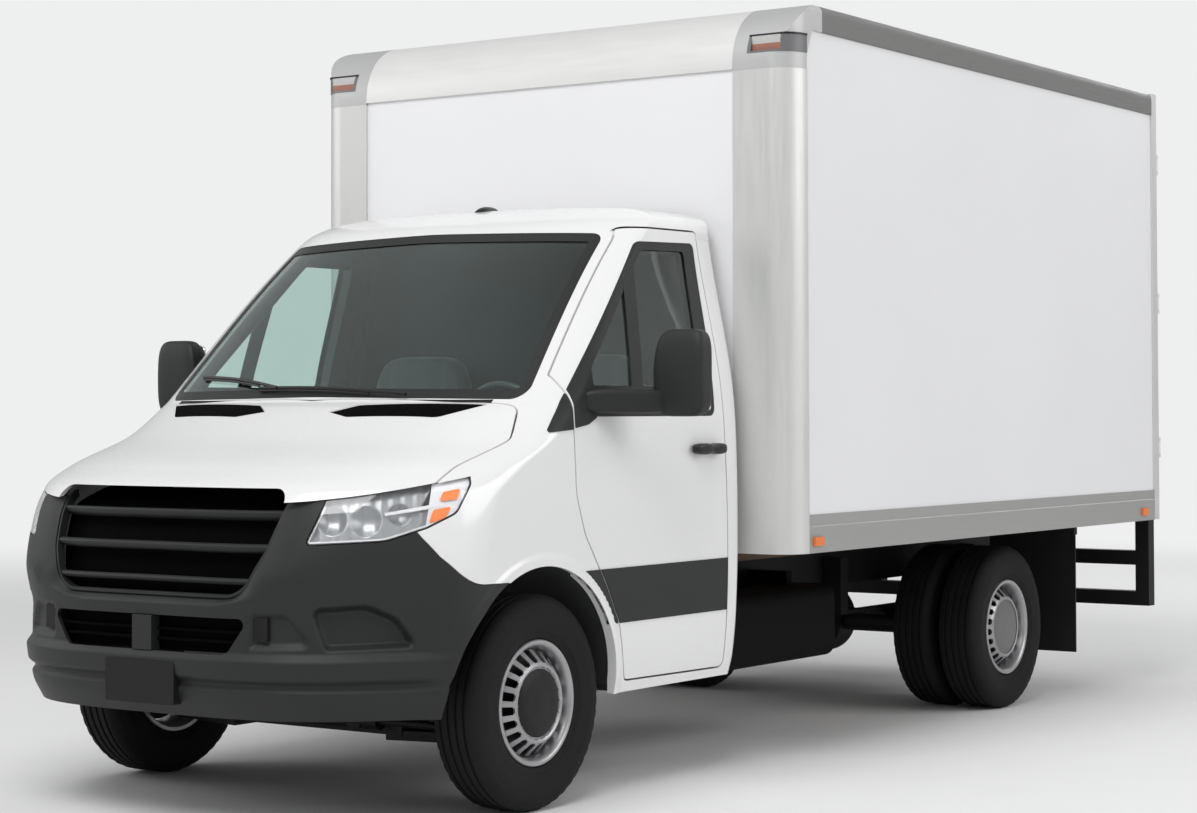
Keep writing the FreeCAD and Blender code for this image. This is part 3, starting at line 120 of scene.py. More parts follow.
def hermite(a, b, ta, tb, t):
    """A curve piece between points a and b with unit tangents ta and tb."""
    size = np.linalg.norm(b - a, axis=-1, keepdims=True)
    t = t[..., None]
    return ((1 + 2 * t) * (1 - t) ** 2 * a + t * (1 - t) ** 2 * size * ta
            + t * t * (3 - 2 * t) * b + t * t * (t - 1) * size * tb)


def unit(v):
    return v / np.maximum(np.linalg.norm(v, axis=-1, keepdims=True), 1e-12)


def form_points(u, z):
    """Points of the cab's outside. u runs from 0 at the front's middle to 1 at the back's, left positive."""
    u, z = np.broadcast_arrays(np.asarray(u, float), np.asarray(z, float))
    front, bow_x, bow_y, corner_x, corner_y, side_x, side_y, back = form_columns(z)
    stack = lambda x, y: np.stack([x, y], -1)
    zero, one = np.zeros_like(z), np.ones_like(z)
    mid_x, mid_y = (bow_x + 2 * corner_x + side_x) / 4, (bow_y + 2 * corner_y + side_y) / 4
    c, b, m, s = stack(zero, front), stack(bow_x, bow_y), stack(mid_x, mid_y), stack(side_x, side_y)
    t_c, t_s = stack(one, zero), stack(zero, one)
    t_b = unit(unit(b - c) * 1.2 + unit(m - b))
    t_m = unit(s - b)
    a = np.abs(u)
    xy = hermite(c, b, t_c, t_b, np.clip(a / U_BOW, 0, 1))
    for u0, u1, p, q, t_p, t_q in ((U_BOW, U_CORNER, b, m, t_b, t_m), (U_CORNER, U_SIDE, m, s, t_m, t_s)):
        bend = hermite(p, q, t_p, t_q, np.clip((a - u0) / (u1 - u0), 0, 1))
        xy = np.where((a > u0)[..., None], bend, xy)
    t = np.clip((a - U_SIDE) / (U_BACK - U_SIDE), 0, 1)
    xy = np.where((a > U_SIDE)[..., None], stack(side_x, side_y + (back - BACK_R - side_y) * t), xy)
    turn = np.clip((a - U_BACK) / (U_TURN - U_BACK), 0, 1) * pi / 2
    corner = stack(side_x - BACK_R + BACK_R * np.cos(turn), back - BACK_R + BACK_R * np.sin(turn))
    xy = np.where((a > U_BACK)[..., None], corner, xy)
    t = np.clip((a - U_TURN) / (1 - U_TURN), 0, 1)
    xy = np.where((a > U_TURN)[..., None], stack((side_x - BACK_R) * (1 - t), back), xy)
    return np.stack([np.copysign(xy[..., 0], np.where(u < 0, -1, 1)), xy[..., 1], z], -1)


def form_normals(u, z, step=1e-4):
    """Outward normals of the form."""
    across = form_points(u + step, z) - form_points(u - step, z)
    up = form_points(u, z + step) - form_points(u, z - step)
    return unit(np.cross(across, up))


# ---- meshes --------
def new_mesh(name, verts, faces):
    mesh = bpy.data.meshes.new(name)
    mesh.from_pydata([tuple(v) for v in verts], [], [tuple(f) for f in faces])
    mesh.update()
    return mesh


def placed(name, data):
    """A new object in the scene."""
    o = bpy.data.objects.new(name, data)
    bpy.context.scene.collection.objects.link(o)
    return o


def edited(mesh, *steps):
    """The mesh after steps that each work on its edges and faces."""
    bm = bmesh.new()
    bm.from_mesh(mesh)
    for step in steps:
        step(bm)
    bm.to_mesh(mesh)
    bm.free()
    return mesh


def weld(reach):
    return lambda bm: bmesh.ops.remove_doubles(bm, verts=bm.verts, dist=reach)


def face_out(bm):
    bmesh.ops.recalc_face_normals(bm, faces=bm.faces)


def values(items, key, width=1, kind=float):
    """One attribute of all items, a row each."""
    found = np.empty(len(items) * width, kind)
    items.foreach_get(key, found)
    return found.reshape(-1, width) if width > 1 else found


def shade(mesh, normals=None):
    """Smooth faces, with their own corner normals where given."""
    mesh.polygons.foreach_set("use_smooth", np.ones(len(mesh.polygons), bool))
    if normals is not None:
        mesh.normals_split_custom_set([tuple(n) for n in normals])


def ring_faces(steps, count):
    """Faces between closed rings of count points each."""
    return [(a + k, a + (k + 1) % count, a + count + (k + 1) % count, a + count + k)
            for a in range(0, steps * count, count) for k in range(count)]


def grid_faces(rows, columns, start=0, flip=False):
    faces = []
    for i in range(rows - 1):
        for j in range(columns - 1):
            a = start + i * columns + j
            quad = (a, a + 1, a + columns + 1, a + columns)
            faces.append(quad[::-1] if flip else quad)
    return faces


def slab(outer, inner):
    """A closed mesh between two matching grids of points."""
    rows, columns = outer.shape[:2]
    verts = np.concatenate([outer.reshape(-1, 3), inner.reshape(-1, 3)])
    count = rows * columns
    faces = grid_faces(rows, columns) + grid_faces(rows, columns, count, True)
    rim = list(range(columns)) + [i * columns + columns - 1 for i in range(1, rows)]
    rim += [(rows - 1) * columns + j for j in range(columns - 2, -1, -1)]
    rim += [i * columns for i in range(rows - 2, 0, -1)]
    for k in range(len(rim)):
        a, b = rim[k], rim[(k + 1) % len(rim)]
        faces.append((b, a, a + count, b + count))
    return new_mesh("slab", verts, faces)


def outline(points, fine=8):
    """Corner points (a, b, radius) as a closed loop with rounded corners."""
    loop = []
    for i, (a, b, radius) in enumerate(points):
        here = np.array((a, b))
        if radius <= 0:
            loop.append(here)
            continue
        back = unit(np.array(points[i - 1][:2]) - here)
        ahead = unit(np.array(points[(i + 1) % len(points)][:2]) - here)
        half = acos(max(-1, min(1, float(back @ ahead)))) / 2
        centre = here + unit(back + ahead) * radius / sin(half)
        start = here + back * radius / tan(half) - centre
        end = here + ahead * radius / tan(half) - centre
        a0, a1 = atan2(start[1], start[0]), atan2(end[1], end[0])
        turn = (a1 - a0 + pi) % (2 * pi) - pi
        steps = max(2, int(fine * abs(turn) / 1.6) + 1)
        angles = [a0 + turn * k / steps for k in range(steps + 1)]
        loop += [centre + radius * np.array((cos(t), sin(t))) for t in angles]
    return np.array(loop)


def grown(loop, by):
    """A loop moved outward by a distance."""
    loop = np.asarray(loop, float)
    ahead, back = np.roll(loop, -1, 0) - loop, loop - np.roll(loop, 1, 0)
    area = np.sum(loop[:, 0] * np.roll(loop[:, 1], -1) - np.roll(loop[:, 0], -1) * loop[:, 1])
    sign = 1 if area > 0 else -1
    side = lambda d: unit(np.stack([d[:, 1], -d[:, 0]], -1)) * sign
    n1, n2 = side(back), side(ahead)
    mid = unit(n1 + n2)
    return loop + mid * (by / np.maximum(np.sum(mid * n1, -1), .3))[:, None]


SIDE, PLAN, FRONT = 0, 2, 1     # the axis that a prism runs along


def prism(loop, axis, low, high):
    """A closed loop drawn out along an axis from low to high."""
    loop = np.asarray(loop, float)
    count = len(loop)
    other = [i for i in range(3) if i != axis]
    verts = np.zeros((2 * count, 3))
    for k, value in enumerate((low, high)):
        verts[k * count:(k + 1) * count, other[0]] = loop[:, 0]
        verts[k * count:(k + 1) * count, other[1]] = loop[:, 1]
        verts[k * count:(k + 1) * count, axis] = value
    faces = [tuple(range(count)), tuple(range(2 * count - 1, count - 1, -1))]
    faces += [(i, (i + 1) % count, (i + 1) % count + count, i + count) for i in range(count)]
    return edited(new_mesh("prism", verts, faces), face_out)


def boxed(x0, x1, y0, y1, z0, z1):
    return prism(((x0, y0), (x1, y0), (x1, y1), (x0, y1)), PLAN, z0, z1)


def joined(*meshes):
    """One mesh of several, as loose parts."""
    bm = bmesh.new()
    for mesh in meshes:
        bm.from_mesh(mesh)
    mesh = bpy.data.meshes.new("joined")
    bm.to_mesh(mesh)
    bm.free()
    return mesh


def boolean(mesh, tool, operation, solver="MANIFOLD"):
    """The mesh cut by, or limited to, a tool mesh."""
    body, cutter = placed("scratch", mesh), placed("scratch", tool)
    modifier = body.modifiers.new("cut", "BOOLEAN")
    modifier.operation, modifier.solver, modifier.object = operation, solver, cutter
    made = bpy.data.meshes.new_from_object(body.evaluated_get(bpy.context.evaluated_depsgraph_get()))
    for o in (body, cutter):
        bpy.data.objects.remove(o)
    if solver == "MANIFOLD" and not made.polygons and operation != "INTERSECT":
        return boolean(mesh, tool, operation, "EXACT")
    return made


def cut(mesh, *tools):
    for tool in tools:
        mesh = boolean(mesh, tool, "DIFFERENCE")
    return mesh


def kept(mesh, *tools):
    for tool in tools:
        mesh = boolean(mesh, tool, "INTERSECT")
    return mesh


def mirrored(mesh):
    copy = mesh.copy()
    copy.transform(Matrix.Diagonal((-1, 1, 1, 1)))
    copy.flip_normals()
    return copy


# ---- the smooth panels --------
def source(points):
    """A grid of surface points as a search tree with smooth normals, for panels cut from that surface."""
    rows, columns = points.shape[:2]
    normals = unit(np.cross(np.gradient(points, axis=1), np.gradient(points, axis=0)))
    verts = points.reshape(-1, 3)
    tris = []
    for a, b, c, d in grid_faces(rows, columns):
        tris += [(a, b, c), (a, c, d)]
    tree = BVHTree.FromPolygons([tuple(v) for v in verts], tris)
    return tree, verts, np.array(tris), normals.reshape(-1, 3)


def smooth_from(mesh, sources, reach=.0016):
    """Normals from the surfaces that the mesh was cut from; faces off those surfaces stay flat."""
    points, loops = values(mesh.vertices, "co", 3), values(mesh.loops, "vertex_index", 1, int)
    flat = np.repeat(values(mesh.polygons, "normal", 3), values(mesh.polygons, "loop_total", 1, int), 0)
    best, found = np.full(len(loops), .75), flat.copy()
    area = lambda p, q, r: np.linalg.norm(np.cross(q - p, r - p), axis=1)
    for tree, verts, tris, normals in sources:
        hits = [tree.find_nearest(Vector(v), reach) for v in points]
        index = np.array([-1 if h[2] is None else h[2] for h in hits])
        spot = np.array([tuple(h[0]) if h[0] is not None else (0, 0, 0) for h in hits])
        a, b, c = (verts[tris[index][:, k]] for k in range(3))
        weights = np.stack([area(spot, b, c), area(a, spot, c), area(a, b, spot)], 1)
        weights /= np.maximum(weights.sum(1, keepdims=True), 1e-12)
        normal = unit(sum(normals[tris[index][:, k]] * weights[:, k:k + 1] for k in range(3)))[loops]
        match = np.where((index >= 0)[loops], np.sum(normal * flat, 1), -1)
        better = match > best
        best, found = np.where(better, match, best), np.where(better[:, None], normal, found)
    shade(mesh, found)


def surface(us, zs, out=.0, relief=None):
    """Points of the cab's skin, lifted by out and by relief(points)."""
    u, z = np.meshgrid(us, zs)
    points, normals = form_points(u, z), form_normals(u, z)
    lift = np.full(u.shape, out)
    if relief is not None:
        lift = lift + relief(points)
    return points + normals * lift[..., None]


def panel(name, us, zs, thick, body, material, slot, keep=(), cuts=(), out=.0, relief=None, mirror=False):
    """A piece of the cab's skin between parameters us and heights zs, limited to keep and cut by cuts.

    out lifts its outer face; relief(points) adds a further lift, point by point."""
    outer, inner = surface(us, zs, out, relief), surface(us, zs, out - thick, relief)
    mesh = cut(kept(slab(outer, inner), *keep), *cuts)
    smooth_from(mesh, [source(outer), source(inner[:, ::-1])])
    return piece(name, flipped(mesh) if mirror else mesh, body, material, slot)


def flipped(mesh):
    """The mesh's mirror image, with its normals."""
    mirror = (-1, 1, 1)
    loops = values(mesh.loops, "vertex_index", 1, int)
    faces, order = [], []
    for p in mesh.polygons:
        ids = list(range(p.loop_start, p.loop_start + p.loop_total))[::-1]
        faces.append([loops[i] for i in ids])
        order += ids
    made = new_mesh("mirror", values(mesh.vertices, "co", 3) * mirror, faces)
    shade(made, (values(mesh.corner_normals, "vector", 3) * mirror)[order])
    return made


def piece(name, mesh, body, material, slot, move=True):
    """The mesh as a piece of the scene that rides on a body. Cab meshes are moved from the axle's frame."""
    mesh.name = name
    if move:
        mesh.transform(Matrix.Translation((0, AXLE_Y, 0)))
    o = placed(name, mesh)
    mesh.materials.clear()
    mesh.materials.append(material)
    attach(o, body)
    return o


def smooth(mesh, angle=35):
    """Smooth shading with edges sharper than the angle kept."""
    def sharpen(bm):
        for e in bm.edges:
            if len(e.link_faces) == 2:
                e.smooth = e.calc_face_angle(0) < radians(angle)

    shade(mesh)
    return edited(mesh, sharpen)


def on_wheel(centre, x, r, turn):
    """The point at x along the axle and r out from it."""
    return centre[0] + x, centre[1] + r * sin(turn), centre[2] + r * cos(turn)


def lathe(profile, segments, centre, shape=None):
    """Revolve a closed profile of (x, r) about the X axis through centre; shape(k, x, r) moves a point."""
    count = len(profile)
    verts, faces = [], []
    for k in range(segments):
        n = (k + 1) % segments
        for i, (x, r) in enumerate(profile):
            if shape:
                x, r = shape(k, x, r)
            verts.append(on_wheel(centre, x, r, 2 * pi * k / segments))
            j = (i + 1) % count
            faces.append((k * count + i, n * count + i, n * count + j, k * count + j))
    return edited(new_mesh("lathe", verts, faces), weld(1e-6), face_out)


def pillow(low, high, power=5.0, rows=24, columns=40, shape=None):
    """A closed box with rounded sides between two corners; shape(p) may move its points, given in -1..1."""
    low, high = np.array(low, float), np.array(high, float)
    verts = []
    for i in range(rows + 1):
        v = pi * (i / rows - .5)
        for k in range(columns):
            h = 2 * pi * k / columns
            d = np.array((cos(v) * cos(h), cos(v) * sin(h), sin(v)))
            verts.append(d / (np.abs(d) ** power).sum() ** (1 / power))
    verts = np.array(verts)
    if shape:
        shape(verts)
    verts = (low + high) / 2 + verts * (high - low) / 2
    return smooth(edited(new_mesh("pillow", verts, ring_faces(rows, columns)), weld(1e-5), face_out), 50)


def tube(points, radius, sides=16):
    """A round bar along points."""
    points = np.array(points, float)
    ahead = unit(np.gradient(points, axis=0))
    ref = np.array((0, 0, 1.0)) if abs(ahead[0][2]) < .9 else np.array((0, 1.0, 0))
    verts = []
    for p, d in zip(points, ahead):
        a = unit(np.cross(d, ref))
        b = np.cross(d, a)
        turns = np.linspace(0, 2 * pi, sides, False)
        verts += [p + radius * (a * cos(t) + b * sin(t)) for t in turns]
    ends = [tuple(range(sides)), tuple(range(len(verts) - 1, len(verts) - sides - 1, -1))]
    return smooth(edited(new_mesh("tube", verts, ring_faces(len(points) - 1, sides) + ends), face_out), 40)


# ---- materials --------
def feed(tree, node, inputs):
    """Sets a node's inputs to constants, or links them to other nodes' outputs."""
    for key, value in inputs.items():
        if isinstance(value, bpy.types.NodeSocket):
            tree.links.new(value, node.inputs[key])
        else:
            node.inputs[key].default_value = value


def add(tree, kind, inputs=None, operation=None):
    """A new shader node with its inputs."""
    node = tree.nodes.new("ShaderNode" + kind)
    if operation:
        node.operation = operation
    feed(tree, node, inputs or {})
    return node


def end_in_mix(tree, factor, first, second, end="Material Output"):
    """Ends the tree in a mix of two shaders."""
    mix = add(tree, "MixShader", {0: factor, 1: first.outputs[0], 2: second.outputs[0]})
    feed(tree, tree.nodes[end], {"Surface": mix.outputs[0]})


def finish_of(name, colour, rough, metallic=.0, tint=.05, grain=60.0, bump=.05, stretch=(1, 1, 1), coat=.0,
              specular=.5, spread=.08, wide=2.5, sheen=.0):
    """A procedural material: colour and roughness vary softly, and a fine grain lifts the surface."""
    m = bpy.data.materials.new(name)
    m.use_nodes = True
    tree = m.node_tree
    shader = tree.nodes["Principled BSDF"]
    place = add(tree, "TexCoord")
    mapping = add(tree, "Mapping", {"Vector": place.outputs["Object"], "Scale": stretch})
    spot = mapping.outputs["Vector"]
    broad = add(tree, "TexNoise", {"Vector": spot, "Scale": wide, "Detail": 3.0})
    fine = add(tree, "TexNoise", {"Vector": spot, "Scale": grain, "Detail": 4.0})
    both = add(tree, "Math", {0: fine.outputs["Fac"], 1: .4, 2: broad.outputs["Fac"]}, "MULTIPLY_ADD")
    ramp = add(tree, "MapRange", {0: both.outputs[0], 1: .4, 2: 1.0, 3: .0, 4: 1.0})
    mix = add(tree, "Mix")
    mix.data_type = "RGBA"
    dark, light = ([min(1, c * (1 + shift)) for c in colour] + [1] for shift in (-tint, tint))
    feed(tree, mix, {0: ramp.outputs[0], 6: dark, 7: light})
    rough_range = add(tree, "MapRange", {0: fine.outputs["Fac"], 1: .3, 2: .7, 3: max(.02, rough - spread),
                                         4: min(1, rough + spread)})
    feed(tree, shader, {"Base Color": mix.outputs[2], "Roughness": rough_range.outputs[0],
                        "Metallic": metallic, "Specular IOR Level": specular, "Sheen Weight": sheen,
                        "Coat Weight": coat, "Coat Roughness": .06})
    if bump:
        raised = add(tree, "Bump", {"Strength": bump, "Distance": .002, "Height": fine.outputs["Fac"]})
        feed(tree, shader, {"Normal": raised.outputs[0]})
    return m


def glass_of(name, colour):
    """Tinted glass: light from the lamps passes straight through it."""
    m = finish_of(name, colour, .0, tint=.02, grain=1.0, bump=.0, wide=.7)
    tree = m.node_tree
    shader = tree.nodes["Principled BSDF"]
    tree.links.remove(shader.inputs["Roughness"].links[0])
    feed(tree, shader, {"Roughness": .0, "Transmission Weight": 1.0, "IOR": 1.45})
    clear = add(tree, "BsdfTransparent", {0: [c ** .5 for c in colour] + [1]})
    end_in_mix(tree, add(tree, "LightPath").outputs["Is Shadow Ray"], shader, clear)
    return m


WHITE = finish_of("cab_white", (.80, .80, .80), .22, tint=.012, grain=350, bump=.015, coat=.6, wide=1.2)
PANEL_WHITE = finish_of("panel_white", (.80, .80, .81), .38, tint=.02, grain=140, bump=.03, wide=.9)
PLASTIC = finish_of("dark_plastic", (.0140, .0150, .0150), .52, tint=.12, grain=900, bump=.25, specular=.4)
BLACK = finish_of("grille_black", (.005, .005, .006), .38, tint=.2, grain=500, bump=.05)
# a near-black without gloss that stands in for the shade inside openings and behind the grille: painted shade
SHADE_BLACK = finish_of("painted_shade_black", (.0015, .0015, .0015), .9, tint=.2, grain=90, bump=.0, specular=.05)
BORDER = finish_of("glass_border", (.022, .023, .023), .35, tint=.15, grain=300, bump=.0, specular=.3)
CAP_DARK = finish_of("cap_dark", (.007, .007, .0072), .5, tint=.15, grain=300, bump=.1, specular=.3)
RUBBER = finish_of("tyre_rubber", (.0085, .0085, .009), .78, tint=.25, grain=260, bump=.2, spread=.12,
                   specular=.25)
SILVER = finish_of("wheel_silver", (.40, .40, .41), .36, metallic=.75, tint=.05, grain=420, bump=.03)
# brushed along one axis each: nose rail, base rails, posts, top rails. They are one aluminium in lit and
# shaded copies: the nose rail and posts are brighter (painted light), the base and top rails darker (painted
# shade)
BRUSHED = {"grain": 90, "bump": .012, "wide": 1.2}
ALU_X_LIT = finish_of("aluminium_x_lit", (.76, .76, .745), .42, .30, .035, stretch=(.05, 1, 1), **BRUSHED)
ALU_Y_SHADED = finish_of("aluminium_y_shaded", (.40, .40, .39), .45, .5, .035, stretch=(1, .05, 1), **BRUSHED)
ALU_Z_LIT = finish_of("aluminium_z_lit", (.66, .66, .645), .42, .45, .035, stretch=(1, 1, .05), **BRUSHED)
ALU_TOP_SHADED = finish_of("aluminium_top_shaded", (.19, .19, .185), .50, .4, .05, stretch=(1, .05, 1), **BRUSHED)
CAP_GREY = finish_of("cap_grey", (.16, .16, .16), .45, metallic=.2, tint=.05, grain=200, bump=.05)
CASTING = finish_of("cap_casting", (.52, .52, .52), .50, metallic=.4, tint=.07, grain=240, bump=.12)
REFLECTOR = finish_of("lamp_reflector", (.33, .335, .34), .34, metallic=.6, tint=.06, grain=120, bump=.0,
                      spread=.05)
LAMP_WHITE = finish_of("lamp_white", (.66, .66, .67), .25, tint=.03, grain=200, bump=.0, coat=.3)
MIRROR_GLASS = finish_of("mirror_glass", (.75, .76, .77), .03, metallic=1.0, tint=.01, grain=50, bump=.0,
                         spread=.01)
FRAME = finish_of("frame_paint", (.006, .006, .007), .55, tint=.3, grain=120, bump=.1, specular=.3)
ENGINE = finish_of("engine_metal", (.16, .16, .16), .5, metallic=.6, tint=.2, grain=60, bump=.2)
TANK = finish_of("tank_plastic", (.0025, .0025, .0025), .75, tint=.2, grain=200, bump=.1, specular=.12)
EXHAUST = finish_of("exhaust_steel", (.03, .029, .028), .5, metallic=.7, tint=.25, grain=60, bump=.1)
TRIM = finish_of("cab_trim", (.030, .031, .033), .6, tint=.12, grain=500, bump=.2)
CLOTH = finish_of("seat_cloth", (.045, .047, .052), .9, tint=.25, grain=700, bump=.5, sheen=.3)
WOOD = finish_of("deck_wood", (.22, .14, .085), .6, tint=.3, grain=22, bump=.15, stretch=(6, .5, 6))
FLAP = finish_of("flap_rubber", (.005, .005, .005), .65, tint=.2, grain=300, bump=.15)
AMBER = finish_of("marker_lens", (.85, .20, .03), .18, tint=.08, grain=300, bump=.05, coat=.5)
CASE_GREY = finish_of("case_grey", (.17, .17, .175), .45, metallic=.3, tint=.08, grain=240, bump=.08)
CLEAR_LENS = finish_of("clear_lens", (.52, .51, .50), .15, tint=.15, grain=90, bump=.1, coat=.5)
DULL_AMBER = finish_of("dull_amber", (.36, .16, .11), .2, tint=.15, grain=90, bump=.1, coat=.5)
RED = finish_of("tail_lens", (.45, .012, .01), .18, tint=.08, grain=300, bump=.05, coat=.5)
SCREEN = glass_of("screen_glass", (.68, .82, .79))
DOOR_GLASS = glass_of("door_glass", (.72, .84, .80))
CLEAR = glass_of("lamp_clear", (.93, .94, .95))

NODE_FINISHES = (
    (FRAME, "frame_rails front_suspension drive_shaft steering_rack steering_rod rear_axle rear_springs"),
    (FRAME, "rear_bumper knuckle_left knuckle_right"), (ENGINE, "engine"), (TANK, "fuel_tank"),
    (TRIM, "wheel_liners dashboard steering_wheel cab_shell"), (WOOD, "box_floor"), (CLOTH, "cab_seats"),
    (PANEL_WHITE, "box_side_walls box_front_wall box_roof cargo_door_left cargo_door_right"),
    (PLASTIC, "cowl"), (EXHAUST, "exhaust"),
    # the aluminium parts take lit or shaded copies of one metal: painted light and painted shade
    (ALU_Z_LIT, "box_front_posts box_rear_frame"), (ALU_X_LIT, "box_nose_rail"), (ALU_TOP_SHADED, "box_top_rails"),
    (ALU_Y_SHADED, "box_base_rails"), (CASTING, "box_corner_caps"), (FLAP, "mud_flaps"), (AMBER, "marker_lamps"),
    (RED, "tail_lamps"), (SILVER, "rim_front_left rim_front_right rims_rear_left rims_rear_right"),
)
for finish, nodes in NODE_FINISHES:
    for node in nodes.split():
        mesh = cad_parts[node].data
        mesh.materials.clear()
        mesh.materials.append(finish)

# ---- outlines of the cab's parts, in metres with a radius per corner --------
HOOD_PLAN = ((.893, -1.1, 0), (.893, -.4, .3), (.918, -.12, .06), (.862, 0, .03), (.64, -.048, .4),
             (0, -.122, 2.4))
HOOD_EDGE = ((-.786, 1.103), (-.430, 1.167))
DOOR_SIDE = ((.163, 1.61, .06), (.163, 1.1, .2), (.21, .96, .12), (.345, .765, .2), (.433, .62, .15),
             (.49, .418, .02), (1.165, .41, .03), (1.172, 2.092, .015), (.745, 2.088, .09), (.56, 1.983, .2))
WINDOW_SIDE = ((.3, 1.375, .02), (1.11, 1.375, .035), (1.148, 2.048, .025), (.745, 2.036, .07),
               (.3, 1.600, .01))
GLASS_SIDE = ((.30, 1.487, .012), (1.03, 1.487, .03), (1.072, 2.012, .02), (.770, 2.004, .05),
              (.30, 1.545, .012))
BUMPER_SIDE = ((-1.2, .34, 0), (-.25, .34, 0), (-.25, .813, 0), (-.43, .815, .15), (-.55, .908, .45),
               (-.612, 1.01, 0), (-.612, 1.4, 0), (-1.2, 1.4, 0))
LAMP_DIAGONAL = ((-.165, .956, .012), (.10, .967, .15), (.24, 1.008, .08), (.345, 1.056, .05),
                 (.399, 1.150, .02), (.399, 1.2, 0), (-.04, 1.2, 0))
GRILLE_FRONT = ((.535, 1.136, .05), (.522, 1.03, .15), (.500, .93, .15), (.425, .777, .115))
GRILLE_CREASE = ((.700, 1.20, 0), (.636, .911, .10), (.565, .790, .08), (.30, .750, .15))
GRILLE_DEPTH = .032
INTAKE_FRONT = ((.458, .712, .022), (.37, .592, .045))
SCREEN_FRONT = ((.864, 1.437, .045), (.765, 2.066, .045))
SCREEN_CROWN, PILLAR = .022, .035
ARCH_Y, ARCH_Z, ARCH_R = -.045, .39, .468
SHELL_Y, FENDER_TOP, COWL_TOP, FLOOR_LOW = .156, 1.318, 1.437, .755
WALL, DOOR_SKIN = .03, .022
ARCH_LIP = .4903          # where the body's wheel opening turns in behind the fender
COARSE = (130, 80)        # columns and rows of the forms that only trim hidden pieces
WIDE, AHEAD = 1.3, -1.2   # beyond the cab's side and ahead of its front, for tools that cut right through


def both_halves(points):
    return tuple(points) + tuple((-a, b, r) for a, b, r in reversed(points) if a)


def grow(points, by, fine=8):
    return grown(outline(points, fine), by)


def across(points, by=.0, side=1, inner=.5):
    """An outline seen from the side, drawn out from inner to beyond one side of the cab."""
    return prism(grow(points, by), SIDE, *sorted((side * inner, side * WIDE)))


def hood_tool(by=.0):
    return prism(grow(both_halves(HOOD_PLAN), by), PLAN, 1.05, 1.47)


def door_tool(by=.0, side=1):
    return across(DOOR_SIDE, by, side)


def screen_tool(by=.0):
    (low_x, low_z, low_r), (high_x, high_z, high_r) = SCREEN_FRONT
    half = ((low_x, low_z, low_r), (high_x, high_z, high_r), (0, high_z + SCREEN_CROWN, 3))
    points = half + ((-high_x, high_z, high_r), (-low_x, low_z, low_r), (0, low_z + SCREEN_CROWN / 2, 3))
    return prism(grow(points, by), FRONT, -.4, .92)


def above_edge(lift=.0, near=-1.3, far=.7):
    """All that lies above the line of the hood's lower edge."""
    (y0, z0), (y1, z1) = HOOD_EDGE
    low, high = (z0 + (z1 - z0) / (y1 - y0) * (y - y0) + lift for y in (near, far))
    return prism(((near, low), (far, high), (far, 2.6), (near, 2.6)), SIDE, -WIDE, WIDE)


def front_tool(points, by=.0):
    """Half an outline seen from the front, with its mirror image, drawn out through the nose."""
    return prism(grow(both_halves(points), by), FRONT, AHEAD, -.5)


def grille_tool(by=.0):
    return front_tool(GRILLE_FRONT, by)


def intake_tool(by=.0):
    return front_tool(INTAKE_FRONT, by)


def bumper_tool(by=.0):
    return prism(grow(BUMPER_SIDE, by), SIDE, -WIDE, WIDE)


def lamp_tool(by=.0, points=LAMP_DIAGONAL, side=1):
    """The lamp's outline drawn out along the front corner's diagonal."""
    mesh = prism(grow(points, by), FRONT, 0, 2.2)
    d = sqrt(.5)
    mesh.transform(Matrix(((d, d, 0, .45), (d, -d, 0, -.45), (0, 0, 1, 0), (0, 0, 0, 1))))
    edited(mesh, face_out)
    return mesh if side > 0 else mirrored(mesh)


def arch_tool(radius=ARCH_R, side=1, inner=.52, outer=WIDE):
    turns = np.linspace(0, 2 * pi, 96, False)
    loop = [(ARCH_Y + radius * cos(t), ARCH_Z + radius * sin(t)) for t in turns]
    return prism(loop, SIDE, *sorted((side * inner, side * outer)))


def roof_tool(inset=.0):
    """The crowned roof seen from the front, drawn out over the cab's length, and half its outline."""
    gx, gz, ex, ez, top = (v - inset for v in (GUTTER_X, GUTTER_Z, EAVE_X, EAVE_Z, ROOF_TOP))
    side_part, top_part = [], []
    for t in np.linspace(0, 1, 14):
        bulge = sin(pi * t)
        side_part.append((gx + (ex - gx) * t + .018 * bulge, gz + (ez - gz) * t + .014 * bulge))
    for t in np.linspace(0, pi / 2, 18)[1:]:
        top_part.append((ex * cos(t) ** .9, ez + (top - ez) * sin(t)))
    half = [(1.1 - inset, .3 - inset), (1.1 - inset, 1.43), (gx, gz - .02)] + side_part + top_part
    whole = half + [(-x, z) for x, z in half[::-1] if x > 1e-6]
    return prism(whole, FRONT, -1.1, 1.4), half


def solid_form(inset=.0, columns=260, rows=150, relief=None):
    """The cab's outside as a closed solid."""
    u, z = np.meshgrid(np.linspace(-1, 1, columns, False), np.linspace(.372, 2.214, rows))
    points = form_points(u, z)
    lift = relief(points) - inset if relief else np.full(u.shape, -inset)
    points = points + form_normals(u, z) * lift[..., None]
    ends = [tuple(range(columns))[::-1], tuple(range((rows - 1) * columns, rows * columns))]
    mesh = new_mesh("form", points.reshape(-1, 3), ring_faces(rows - 1, columns) + ends)
    return edited(mesh, face_out), points


def flare(points):
    """The raised lip round the wheel opening."""
    r = np.hypot(points[..., 1] - ARCH_Y, points[..., 2] - ARCH_Z)
    rise = np.clip((r - .515) / -.022, 0, 1)
    rise = rise * rise * (3 - 2 * rise)
    return .007 * np.where(np.abs(points[..., 0]) > .6, rise, 0)


